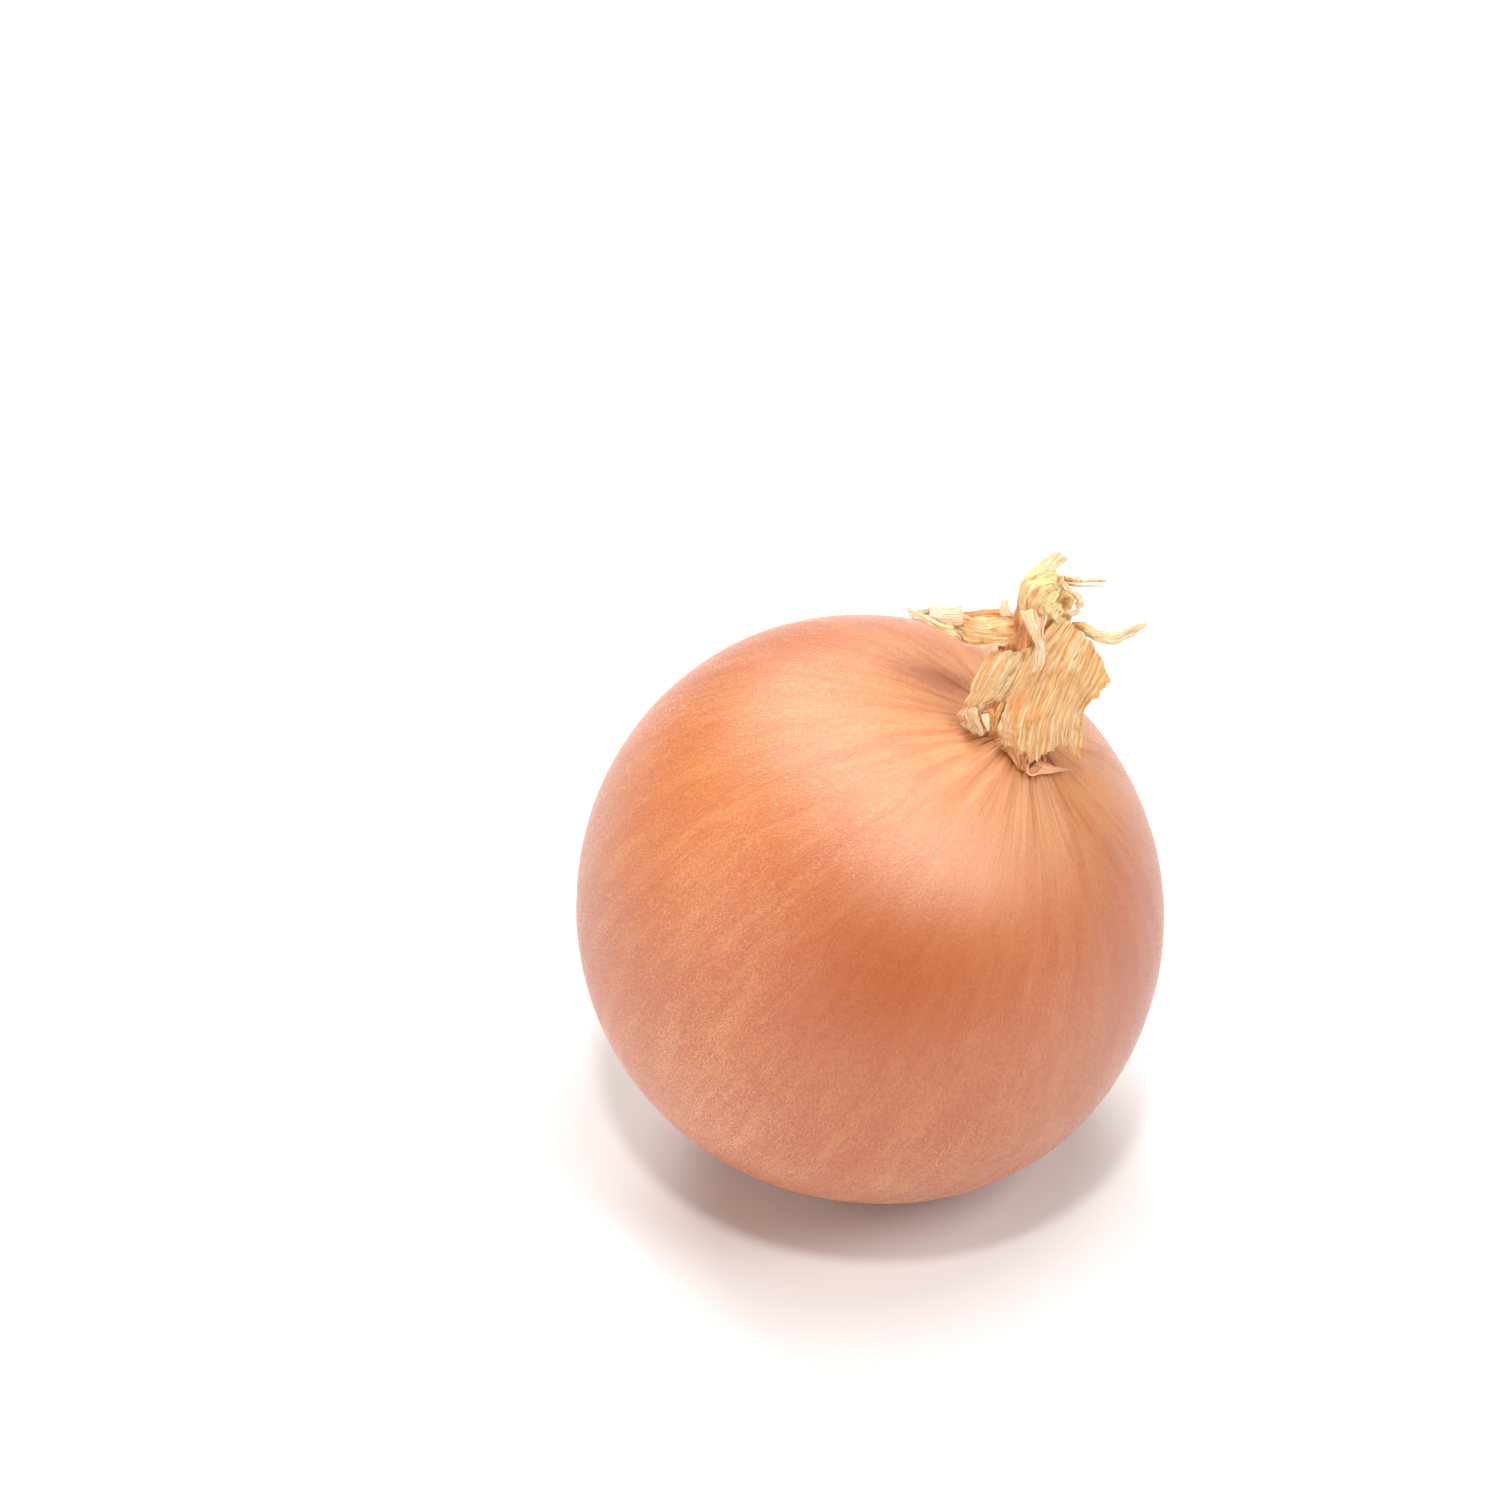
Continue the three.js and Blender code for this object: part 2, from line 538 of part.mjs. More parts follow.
const neck = new THREE.Group();
neck.position.copy(POLE);
neck.rotation.x = radians(FACE_TILT);
neck.add(piece("neck_stalk", neckStalk(), pale));
neck.add(piece("front_sheath", frontSheath(), straw));
neck.add(piece("left_sheath", leftSheath(), straw));
neck.add(piece("left_shred", leftShred(), straw));
neck.add(piece("centre_strip", centreStrip(), pale));
neck.add(piece("right_curl", rightCurl(), pale));
neck.add(piece("back_sheath", backSheath(), straw));
neck.add(piece("skin_scrap", skinScrap(), skin));
globe.add(neck);

const onion = new THREE.Group();
onion.name = "onion";
onion.add(globe);

export default onion;
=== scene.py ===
import math

import bpy
import numpy as np
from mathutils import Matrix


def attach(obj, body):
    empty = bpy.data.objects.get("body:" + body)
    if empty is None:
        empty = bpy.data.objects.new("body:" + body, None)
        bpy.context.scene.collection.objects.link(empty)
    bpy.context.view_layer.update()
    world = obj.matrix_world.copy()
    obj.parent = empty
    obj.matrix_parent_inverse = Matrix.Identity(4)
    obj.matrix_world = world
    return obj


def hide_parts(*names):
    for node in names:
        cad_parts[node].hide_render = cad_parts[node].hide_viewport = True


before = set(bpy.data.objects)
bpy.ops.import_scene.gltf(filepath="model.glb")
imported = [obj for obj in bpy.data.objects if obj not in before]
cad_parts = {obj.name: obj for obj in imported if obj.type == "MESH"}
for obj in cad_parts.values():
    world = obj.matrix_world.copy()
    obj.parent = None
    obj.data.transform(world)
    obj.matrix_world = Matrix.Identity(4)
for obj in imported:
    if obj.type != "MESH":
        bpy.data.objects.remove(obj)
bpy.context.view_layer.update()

# The onion is worked out in millimetres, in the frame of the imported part, and made in metres.
MM = 0.001

# Sizes of the globe
BULB_RADIUS = 37.8
BULB_HALF_HEIGHT = 36.9
CENTRE_HEIGHT = 36.5
NECK_LEAN = 29.0
NECK_HEADING = -19.3
FACE_TILT = 52.0
SWELLINGS = [(118, 0.55), (-55, 0.45), (-100, -0.45), (-15, -0.3), (35, -0.25)]
SWELLING_SHARPNESS = 6.0
NECK_RISE = 2.0
NECK_RISE_WIDTH = 6.5
PLEAT_HEIGHT = 0.2
PLEAT_START = 20.0
PLEAT_FADE = 6.0
PLEATS = [(13, 0.9, 0.45), (21, 2.2, 0.55)]
ROOT_DIMPLE = 1.1
ROOT_DIMPLE_WIDTH = 5.5

# Fine ripples of the whole skin, and of the skin near the neck: height, count around, stretch along, seed
SKIN_RIPPLES = [(0.05, 7, 1.5, 3), (0.035, 17, 1.2, 4)]
NECK_RIPPLES = [(0.045, 14, 4.0, 6), (0.035, 34, 3.0, 7)]
NECK_RIPPLE_REACH = 13.0

# Painted shade: places where the skin is painted a deeper copper, on the shaded middle of its front, its
# flanks and back, and where the left shred's shadow falls beside the neck: direction from the globe's
# centre, sharpness of its fading, share
PAINTED_SHADE_PLACES = [
    ((-0.02, -0.93, 0.37), 8.0, 0.76),
    ((0.88, -0.45, 0.14), 5.0, 0.6),
    ((-0.97, -0.1, 0.2), 9.0, 0.5),
    ((-0.40, 0.90, 0.10), 6.0, 0.25),
    ((0.126, 0.074, 0.989), 200.0, 0.45),
    ((0.263, -0.003, 0.965), 220.0, 0.6),
]

# Painted highlights: places where it is painted a paler salmon, under the brightest sheen, in the same
# terms
PAINTED_HIGHLIGHT_PLACES = [
    ((-0.185, -0.11, 0.977), 22.0, 0.38),
    ((0.305, -0.607, 0.735), 20.0, 0.75),
    ((-0.62, -0.35, 0.70), 10.0, 0.3),
    ((0.20, 0.60, 0.60), 8.0, 0.3),
]

# Points of the globe's mesh; its rings crowd towards both ends
BULB_AROUND = 420
BULB_RINGS = 220
RING_CROWDING = 0.28

# Gathers at the neck's foot, with painted shade along their bottoms: degrees around, distances from the
# neck where each starts and ends, depth
GATHERS = [
    (176, 6.0, 10.6, 0.14), (170.5, 5.8, 11.4, 0.16), (165, 5.4, 12.5, 0.2), (157, 4.6, 10.2, 0.22),
    (148, 4.2, 9.6, 0.22), (186, 6.0, 9.4, 0.14), (197, 5.6, 9.8, 0.16), (214, 5.2, 9.4, 0.16),
    (134, 4.4, 8.0, 0.18), (118, 4.6, 8.6, 0.16), (101, 4.4, 8.2, 0.2), (84, 4.2, 8.4, 0.26),
    (76, 4.2, 9.6, 0.32), (66, 4.4, 8.4, 0.26), (48, 4.6, 8.0, 0.2), (30, 4.4, 8.6, 0.24),
    (8, 4.6, 8.4, 0.2), (-14, 4.8, 9.6, 0.26), (-38, 4.6, 8.6, 0.22), (-62, 4.6, 9.4, 0.26),
    (-88, 4.8, 8.4, 0.22), (-112, 5.0, 9.8, 0.26), (-131, 5.0, 8.6, 0.2),
]
GATHER_WIDTH = 0.17
GATHER_LINE_WIDTH = 0.085
GATHER_WANDER = 1.6
GATHER_ONSET = 1.2
GATHER_FULL_SHADE = 0.5


def unit(vector):
    return vector / np.linalg.norm(vector, axis=-1, keepdims=True)


def smoothstep(value, low, high):
    share = np.clip((value - low) / (high - low), 0.0, 1.0)
    return share * share * (3.0 - 2.0 * share)


def mix(first, second, share):
    return first + (second - first) * share


LEAN = math.radians(NECK_LEAN)
HEADING = math.radians(NECK_HEADING)
TILT = math.radians(FACE_TILT)
NECK_AXIS = np.array([
    math.sin(LEAN) * math.cos(HEADING), math.sin(LEAN) * math.sin(HEADING), math.cos(LEAN),
])
FACE_RIGHT = np.array([1.0, 0.0, 0.0])
FACE_UP = np.array([0.0, math.cos(TILT), math.sin(TILT)])
FACE_OUT = np.array([0.0, -math.sin(TILT), math.cos(TILT)])
FACE_AXES = np.stack([FACE_RIGHT, FACE_UP, FACE_OUT])
POLE = NECK_AXIS * BULB_HALF_HEIGHT
AROUND_RIGHT = unit(FACE_RIGHT - NECK_AXIS * NECK_AXIS[0])
AROUND_FRONT = np.cross(AROUND_RIGHT, NECK_AXIS)
CENTRE = np.array([0.0, 0.0, CENTRE_HEIGHT])


# Repeatable noise

def draw_at(ix, iy, iz, seed):
    """A fixed draw from -1 to 1 at each whole-number point."""
    h = (ix * 374761393 + iy * 668265263 + iz * 1442695041 + seed * 974634777) & 0xFFFFFFFF
    h = ((h ^ (h >> 13)) * 1274126177) & 0xFFFFFFFF
    return (h ^ (h >> 16)) / 2147483648.0 - 1.0


def noise(x, y=0.0, z=0.0, seed=0):
    """Smooth noise from -1 to 1, with features about one unit across."""
    x, y, z = np.broadcast_arrays(*(np.asarray(a, dtype=float) for a in (x, y, z)))
    lows = [np.floor(a).astype(np.int64) for a in (x, y, z)]
    shares = [a - low for a, low in zip((x, y, z), lows)]
    shares = [s * s * (3.0 - 2.0 * s) for s in shares]
    total = np.zeros_like(x)
    for corner in range(8):
        bits = [(corner >> axis) & 1 for axis in range(3)]
        weight = 1.0
        for bit, share in zip(bits, shares):
            weight = weight * (share if bit else 1.0 - share)
        total += weight * draw_at(lows[0] + bits[0], lows[1] + bits[1], lows[2] + bits[2], seed)
    return total


def layered(x, y=0.0, z=0.0, seed=0, layers=3):
    """Noise in layers, each at twice the scale and half the height of the one before."""
    total = 0.0
    for layer in range(layers):
        scale = 2.0 ** layer
        total = total + noise(np.asarray(x) * scale, np.asarray(y) * scale, np.asarray(z) * scale,
                              seed + 17 * layer) / scale
    return total


def creased(x, y, z, seed):
    """Height of crumpled paper, about -1 to 1: flats between sharp folds."""
    broad = 0.5 - 1.6 * np.abs(noise(x, y, z, seed))
    small = 0.5 - 1.6 * np.abs(noise(2.6 * x, 2.6 * y, 2.6 * z, seed + 2))
    return broad + 0.6 * small + 0.4 * noise(1.3 * x, 1.3 * y, 1.3 * z, seed + 3)


# Meshes

def signed_volume(points, faces):
    a, b, c = (points[[face[k] for face in faces]] for k in (0, 1, 2))
    volume = np.einsum("ij,ij->i", a, np.cross(b, c)).sum()
    fourth = [(face[0], face[2], face[3]) for face in faces if len(face) == 4]
    if fourth:
        a, b, c = (points[[face[k] for face in fourth]] for k in (0, 1, 2))
        volume += np.einsum("ij,ij->i", a, np.cross(b, c)).sum()
    return volume


def make_piece(name, points, faces, material, attributes=None, flat_from=None):
    """A closed mesh from points in millimetres of the part's frame."""
    points = np.asarray(points)
    if signed_volume(points, faces) < 0:
        faces = [tuple(reversed(face)) for face in faces]
    mesh = bpy.data.meshes.new(name)
    mesh.from_pydata((points * MM).tolist(), [], faces)
    smooth = np.ones(len(faces), dtype=bool)
    if flat_from is not None:
        smooth[flat_from:] = False
    mesh.polygons.foreach_set("use_smooth", smooth)
    for key, values in (attributes or {}).items():
        values = np.asarray(values, dtype=np.float32)
        kind = "FLOAT" if values.ndim == 1 else "FLOAT_VECTOR"
        layer = mesh.attributes.new(key, kind, "POINT")
        layer.data.foreach_set("value" if values.ndim == 1 else "vector", values.ravel())
    mesh.update()
    piece = bpy.data.objects.new(name, mesh)
    bpy.context.scene.collection.objects.link(piece)
    piece.data.materials.append(material)
    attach(piece, "root")
    return piece


def ring_faces(rings, around):
    """Faces of a closed skin: point 0, then the rings, then one last point."""
    faces = []
    for i in range(around):
        following = (i + 1) % around
        faces.append((0, 1 + following, 1 + i))
        for ring in range(rings - 1):
            low = 1 + ring * around
            high = low + around
            faces.append((low + i, low + following, high + following, high + i))
        last = 1 + (rings - 1) * around
        faces.append((last + i, last + following, 1 + rings * around))
    return faces


# Globe

def gathers(from_neck, around):
    """How deep the gathers cut the skin at the neck's foot, and the painted shade lines along their
    bottoms.
    """
    depth = np.zeros_like(from_neck)
    lines = np.zeros_like(from_neck)
    degrees = np.degrees(around)
    for index, (angle, start, end, height) in enumerate(GATHERS):
        wander = GATHER_WANDER * noise(from_neck * 0.35, index * 3.7, seed=5)
        off = (degrees - angle - wander + 180.0) % 360.0 - 180.0
        across = np.radians(off) * np.maximum(from_neck, 1.0)
        length = smoothstep(from_neck, start - GATHER_ONSET, start)
        length = length * (1.0 - smoothstep(from_neck, start, end))
        depth += height * length * np.exp(-(across / GATHER_WIDTH) ** 2)
        lines += height / GATHER_FULL_SHADE * np.sqrt(length) * np.exp(-(across / GATHER_LINE_WIDTH) ** 2)
    return depth, np.minimum(lines, 1.0)


def skin_radius(direction, fine=True):
    """Globe's radius along unit directions from its centre, and the painted shade lines of its gathers."""
    cosine = np.clip(direction @ NECK_AXIS, -1.0, 1.0)
    sine = np.sqrt(1.0 - cosine * cosine)
    around = np.arctan2(direction @ AROUND_FRONT, direction @ AROUND_RIGHT)
    angle = np.arccos(cosine)
    from_neck = angle * BULB_HALF_HEIGHT
    from_root = math.pi * BULB_HALF_HEIGHT - from_neck
    radius = 1.0 / np.hypot(sine / BULB_RADIUS, cosine / BULB_HALF_HEIGHT)
    for degrees, height in SWELLINGS:
        turn = math.radians(degrees)
        towards = FACE_RIGHT * math.cos(turn) + FACE_UP * math.sin(turn)
        radius += height * np.exp(SWELLING_SHARPNESS * (direction @ towards - 1.0))
    gathered = smoothstep(PLEAT_START - from_neck, 0.0, PLEAT_START - PLEAT_FADE)
    centred = smoothstep(from_neck, 0.0, PLEAT_FADE)
    for count, phase, share in PLEATS:
        radius += PLEAT_HEIGHT * gathered * centred * share * np.cos(count * around + phase)
    radius += NECK_RISE * np.exp(-(from_neck / NECK_RISE_WIDTH) ** 2)
    radius -= ROOT_DIMPLE * np.exp(-(from_root / ROOT_DIMPLE_WIDTH) ** 2)
    if not fine:
        return radius, None
    x, y = np.cos(around), np.sin(around)
    for height, count, along, seed in SKIN_RIPPLES:
        radius += height * noise(count * x, count * y, angle * along, seed=seed) * np.minimum(sine * 2, 1)
    near = np.exp(-(from_neck / NECK_RIPPLE_REACH) ** 2) * centred
    for height, count, along, seed in NECK_RIPPLES:
        radius += height * near * layered(count * x, count * y, angle * along, seed=seed, layers=2)
    depth, lines = gathers(from_neck, around)
    return radius - depth, lines


def tinted(direction, places):
    """Share of a tint along each direction, from the places where it is strong."""
    total = np.zeros(len(direction))
    for towards, sharpness, share in places:
        total += share * np.exp(sharpness * (direction @ unit(np.array(towards)) - 1.0))
    return total


def bulb(material):
    share = np.arange(1, BULB_RINGS) / BULB_RINGS
    angle = np.pi * share - RING_CROWDING * np.sin(2 * np.pi * share)
    around = 2 * np.pi * np.arange(BULB_AROUND) / BULB_AROUND
    angle, around = (grid.ravel() for grid in np.meshgrid(angle, around, indexing="ij"))
    angle = np.concatenate([[0.0], angle, [np.pi]])
    around = np.concatenate([[0.0], around, [0.0]])
    direction = np.cos(angle)[:, None] * NECK_AXIS
    direction = direction + (np.sin(angle) * np.cos(around))[:, None] * AROUND_RIGHT
    direction = direction + (np.sin(angle) * np.sin(around))[:, None] * AROUND_FRONT
    radius, lines = skin_radius(direction)
    points = CENTRE + direction * radius[:, None]
    points[:, 2] = np.maximum(points[:, 2], 0.0)
    flow = np.stack([np.cos(around), np.sin(around), angle], axis=1)
    flow[0, :2] = 0.0
    flow[-1, :2] = 0.0
    piece = make_piece("onion_bulb", points, ring_faces(BULB_RINGS - 1, BULB_AROUND), material,
                       {"flow": flow, "gather_shade": lines, "painted_shade": tinted(direction, PAINTED_SHADE_PLACES),
                        "pale": tinted(direction, PAINTED_HIGHLIGHT_PLACES)})
    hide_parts("bulb")


# Neck: its pieces are laid out in the neck face's frame, x right, y up the face, z out of it

def to_part(points):
    """From the neck's frame to the part's."""
    return CENTRE + POLE + np.asarray(points) @ FACE_AXES


def to_neck(points):
    """From the part's frame to the neck's."""
    return (np.asarray(points) - CENTRE - POLE) @ FACE_AXES.T


def on_skin_at(x, y, lift):
    """Point on or above the skin in the neck's frame, straight out from x and y of its face."""
    place = POLE + FACE_RIGHT * x + FACE_UP * y
    out = 0.0
    for _ in range(25):
        here = place + FACE_OUT * out
        length = np.linalg.norm(here)
        radius, _lines = skin_radius((here / length)[None, :], fine=False)
        out += (radius[0] + lift - length) / max(here @ FACE_OUT / length, 0.3)
    return (x, y, out)


def spline(points, share):
    """Uniform Catmull-Rom curve through points (count, ..., 3) at shares from 0 to 1 of its spans."""
    points = np.asarray(points, dtype=float)
    share = np.asarray(share, dtype=float)
    before = 2 * points[0] - points[1]
    after = 2 * points[-1] - points[-2]
    padded = np.concatenate([before[None], points, after[None]])
    spans = len(points) - 1
    place = np.clip(share, 0.0, 1.0) * spans
    index = np.minimum(place.astype(int), spans - 1)
    t = (place - index)[..., None]
    if points.ndim == 2:
        p0, p1, p2, p3 = (padded[index + k] for k in range(4))
    else:
        rows = np.arange(points.shape[1])
        p0, p1, p2, p3 = (padded[index + k, rows] for k in range(4))
    m1 = (p2 - p0) / 2
    m2 = (p3 - p1) / 2
    return ((2 * p1 - 2 * p2 + m1 + m2) * t + (-3 * p1 + 3 * p2 - 2 * m1 - m2)) * t * t + m1 * t + p1


def patch(rails, u, v):
    """Points of a sheet through rails, at shares u across and v along, both flat arrays."""
    rows = np.stack([spline(rail, v) for rail in rails])
    return spline(rows, u)


STALK_LINE = np.array([
    (0.3, -0.3, 0.4), (1.1, 4.0, 3.2), (1.6, 8.4, 5.8), (1.9, 12.2, 8.0),
    (2.2, 14.6, 9.6), (2.9, 16.4, 10.9), (4.3, 17.3, 11.6),
])
STALK_RADII = [
    (0.0, 4.2), (0.2, 3.65), (0.4, 3.2), (0.55, 2.9), (0.68, 2.7), (0.77, 3.0), (0.84, 3.6), (0.90, 3.7),
    (0.95, 3.45), (1.0, 2.8),
]
STALK_DEPTH = 0.86

# Waves around the stalk: count, phase in degrees, height
STALK_RIBS = [(9, 40, 0.055), (5, 120, 0.04)]
CROWN_TEETH = [(7, 60, 0.25), (12, 0, 0.15)]

# Crown: its rim drops at the open side and rises to a wall at the front, at these degrees around
CROWN_TILT = 0.5
CROWN_OPEN_SIDE = 60.0
CROWN_FRONT_WALL = 125.0
CROWN_WALL_HEIGHT = 1.7
CROWN_WALL_WIDTH = 55.0
CROWN_CRUMPLE = 0.6
CROWN_TEAR = 0.28


def stalk_radius(share):
    shares, radii = zip(*STALK_RADII)
    return np.interp(share, shares, radii)


def beside_stalk(share, degrees, distance, rise=0.0):
    """Points beside the stalk: share of its length, degrees from the right, distance from its line."""
    share, degrees, distance, rise = (
        np.asarray(a, dtype=float) for a in np.broadcast_arrays(share, degrees, distance, rise))
    step = 1e-4
    ahead = spline(STALK_LINE, np.minimum(share + step, 1))
    along = unit(ahead - spline(STALK_LINE, np.maximum(share - step, 0)))
    right = unit(np.cross(along, np.array([0.0, 0.0, 1.0])))
    front = np.cross(right, along)
    turn = np.radians(degrees)[..., None]
    return (spline(STALK_LINE, share) + along * rise[..., None] + right * distance[..., None] * np.cos(turn)
            + front * STALK_DEPTH * distance[..., None] * np.sin(turn))


def with_waves(level, degrees, waves):
    """A level with waves around the stalk added to it."""
    for count, phase, height in waves:
        level = level + height * np.cos(np.radians(count * degrees + phase))
    return level


def ribs(degrees):
    """How the ribs change the stalk's radius around it."""
    return with_waves(1.0, degrees, STALK_RIBS)


def crown_rim(degrees):
    """Height of the crown's rim around it."""
    off = (degrees - CROWN_FRONT_WALL + 180.0) % 360.0 - 180.0
    front_wall = CROWN_WALL_HEIGHT * np.exp(-(off / CROWN_WALL_WIDTH) ** 2)
    level = -CROWN_TILT * np.cos(np.radians(degrees - CROWN_OPEN_SIDE)) + front_wall
    return with_waves(level, degrees, CROWN_TEETH)


STALK_AROUND = 200
STALK_RINGS = 90
STALK_START = 0.03
FLARE_START = 0.8

# The stalk's foot: radius and lift above the skin
STALK_FOOT = [(5.0, -0.25), (4.85, 0.05), (4.6, 0.3), (4.4, 0.65)]
STALK_FOOT_TUCK = 0.4
STALK_FOOT_TONE = (0.7, 0.15, 0.0)

# The crown's hollow, from its rim down: radius, flare, drop along the stalk
CROWN_HOLLOW = [
    (2.68, 1.04, 0.06), (2.5, 1.0, 0.0), (2.4, 0.95, -0.4), (2.3, 0.85, -0.9), (2.4, 0.7, -1.5),
    (2.2, 0.5, -2.2), (1.7, 0.35, -2.9), (1.1, 0.2, -3.4), (0.5, 0.1, -3.7),
]
HOLLOW_FLOOR = -3.8
HOLLOW_SHADE_DEPTH = 2.5

# How far the fibres' coordinates reach around the stalk and along it
FIBRE_RIGHT = 3.4
FIBRE_ALONG = 22
FIBRE_FRONT = 10.2


def stalk_foot(degrees):
    """Rings that bring the stalk's foot down onto the skin, wider at its back."""
    rings = []
    for spread, lift in STALK_FOOT:
        spread = (spread - STALK_FOOT_TUCK * np.sin(np.radians(degrees))) * ribs(degrees)
        place = POLE + beside_stalk(STALK_START, degrees, spread) @ FACE_AXES
        direction = unit(place)
        radius, _lines = skin_radius(direction, fine=False)
        rings.append(to_neck(CENTRE + direction * (radius + lift)[:, None]))
    return rings


def stalk_profile():
    """Rings of the stalk as share, radius, flare and drop, from its foot up and into the crown's hollow."""
    outer = [(share, stalk_radius(share), max(0.0, share - FLARE_START) / (1 - FLARE_START), 0.0)
             for share in np.linspace(STALK_START, 1, STALK_RINGS)]
    return outer + [(1.0, *ring) for ring in CROWN_HOLLOW]


def stalk_ring(degrees, x, y, place, inside):
    """One ring of the stalk; place is its share, radius, flare and drop, x and y are its circle."""
    share, radius, flare, drop = place
    crumple = smoothstep(share, 0.7, 0.9) * CROWN_CRUMPLE * creased(3.4 * x, 3.4 * y, share * 18, 23)
    edge = CROWN_TEAR * layered(6 * x, 6 * y, 0.5, seed=24, layers=3) * flare
    if inside:
        swell = radius * ribs(degrees) + crumple * 0.7
    else:
        fine = 0.16 * noise(9 * x, 9 * y, share * 4, seed=21)
        fine = fine + 0.1 * noise(19 * x, 19 * y, share * 5, seed=22)
        fine *= 1 - 0.6 * smoothstep(share, 0.72, 0.86)
        swell = radius * ribs(degrees) + fine + crumple
    return beside_stalk(share, degrees, swell, flare * crown_rim(degrees) + drop + edge)


def stalk_colours(x, y, share, depth):
    """Tone and crown shares around one ring; depth is how far down in the hollow it lies, 0 to 1. Painted
    shade: darker and more orange in the stalk's grooves and deeper in the hollow, less white and olive down
    in the hollow.
    """
    hollow = np.full_like(x, depth)
    pale = np.full_like(x, float(smoothstep(share, 0.62, 0.85)))
    # Painted shade in the grooves of the stalk's relief, and deeper in the crown's hollow
    groove_shade = smoothstep(-noise(9 * x, 9 * y, share * 4, seed=21), 0.15, 0.5) * (1 - 0.5 * pale)
    orange = 0.1 + 0.45 * (1 - pale) + 0.1 * hollow
    dark = (0.5 - 0.3 * pale) * groove_shade + 0.05 * hollow
    white = pale * 0.4 * (1 - hollow)
    tone = np.stack([orange, dark, white], axis=1)
    crown = np.stack([pale * (1 - hollow), hollow, 0 * hollow], axis=1)
    return tone, crown


def stalk_fibre(x, y, along):
    return np.stack([FIBRE_RIGHT * x, np.full_like(x, along), FIBRE_FRONT * y], axis=1)


def neck_stalk(material):
    degrees = 360.0 * np.arange(STALK_AROUND) / STALK_AROUND
    x, y = np.cos(np.radians(degrees)), np.sin(np.radians(degrees))
    rings = stalk_foot(degrees)
    fibre = [stalk_fibre(x, y, 0.3 * k - 1.0) for k in range(len(rings))]
    tone = [np.tile(STALK_FOOT_TONE, (STALK_AROUND, 1)) for _ring in rings]
    crown = [np.zeros((STALK_AROUND, 3)) for _ring in rings]
    for index, place in enumerate(stalk_profile()):
        share, _radius, _flare, drop = place
        inside = index >= STALK_RINGS
        rings.append(stalk_ring(degrees, x, y, place, inside))
        fibre.append(stalk_fibre(x, y, share * FIBRE_ALONG - (drop * 2 if inside else 0)))
        depth = min(1.0, -drop / HOLLOW_SHADE_DEPTH) if inside else 0.0
        ring_tone, ring_crown = stalk_colours(x, y, share, depth)
        tone.append(ring_tone)
        crown.append(ring_crown)
    start = beside_stalk(0.0, 0.0, 0.0, -1.0)
    end = beside_stalk(1.0, 0.0, 0.0, HOLLOW_FLOOR)
    points = np.concatenate([start.reshape(1, 3), *rings, end.reshape(1, 3)])
    values = {
        key: np.concatenate([rows[0][:1], *rows, rows[-1][:1]])
        for key, rows in (("fibre", fibre), ("tone", tone), ("crown", crown))
    }
    faces = ring_faces(len(rings), STALK_AROUND)
    piece = make_piece("stalk", to_part(points), faces, material, values)
    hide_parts("neck_stalk")


# Leaves

LEAF_THICKNESS = 0.22
RIB_SHARPNESS = 2.2
# Painted shade of a leaf: how dark its grooves are painted, and how much more orange and less white its
# furrows are painted
GROOVE_SHADE = 6.0
FURROW_SHADE_ORANGE = 0.4
FURROW_SHADE_WHITE = 0.5


def sheet_faces(across, along):
    """Faces of a thin sheet: its front, its back, then the rim between them."""
    size = (across + 1) * (along + 1)
    at = np.arange(size).reshape(across + 1, along + 1)
    front = np.stack([at[:-1, :-1], at[1:, :-1], at[1:, 1:], at[:-1, 1:]], axis=-1).reshape(-1, 4)
    edge = np.concatenate([at[:-1, 0], at[-1, :-1], at[:0:-1, -1], at[0, :0:-1]])
    following = np.roll(edge, -1)
    rim = np.stack([following, edge, edge + size, following + size], axis=1)
    faces = np.concatenate([front, front[:, ::-1] + size, rim])
    return [tuple(face) for face in faces.tolist()], 2 * len(front)


def torn_edge(share, scale, depth, seed):
    """How far a torn edge is eaten in, along shares of its length: never less than nothing."""
    bite = 0.5 + 0.5 * layered(share * scale, 0.0, 0.0, seed=seed, layers=4)
    return depth * np.clip(bite, 0.0, 1.0)


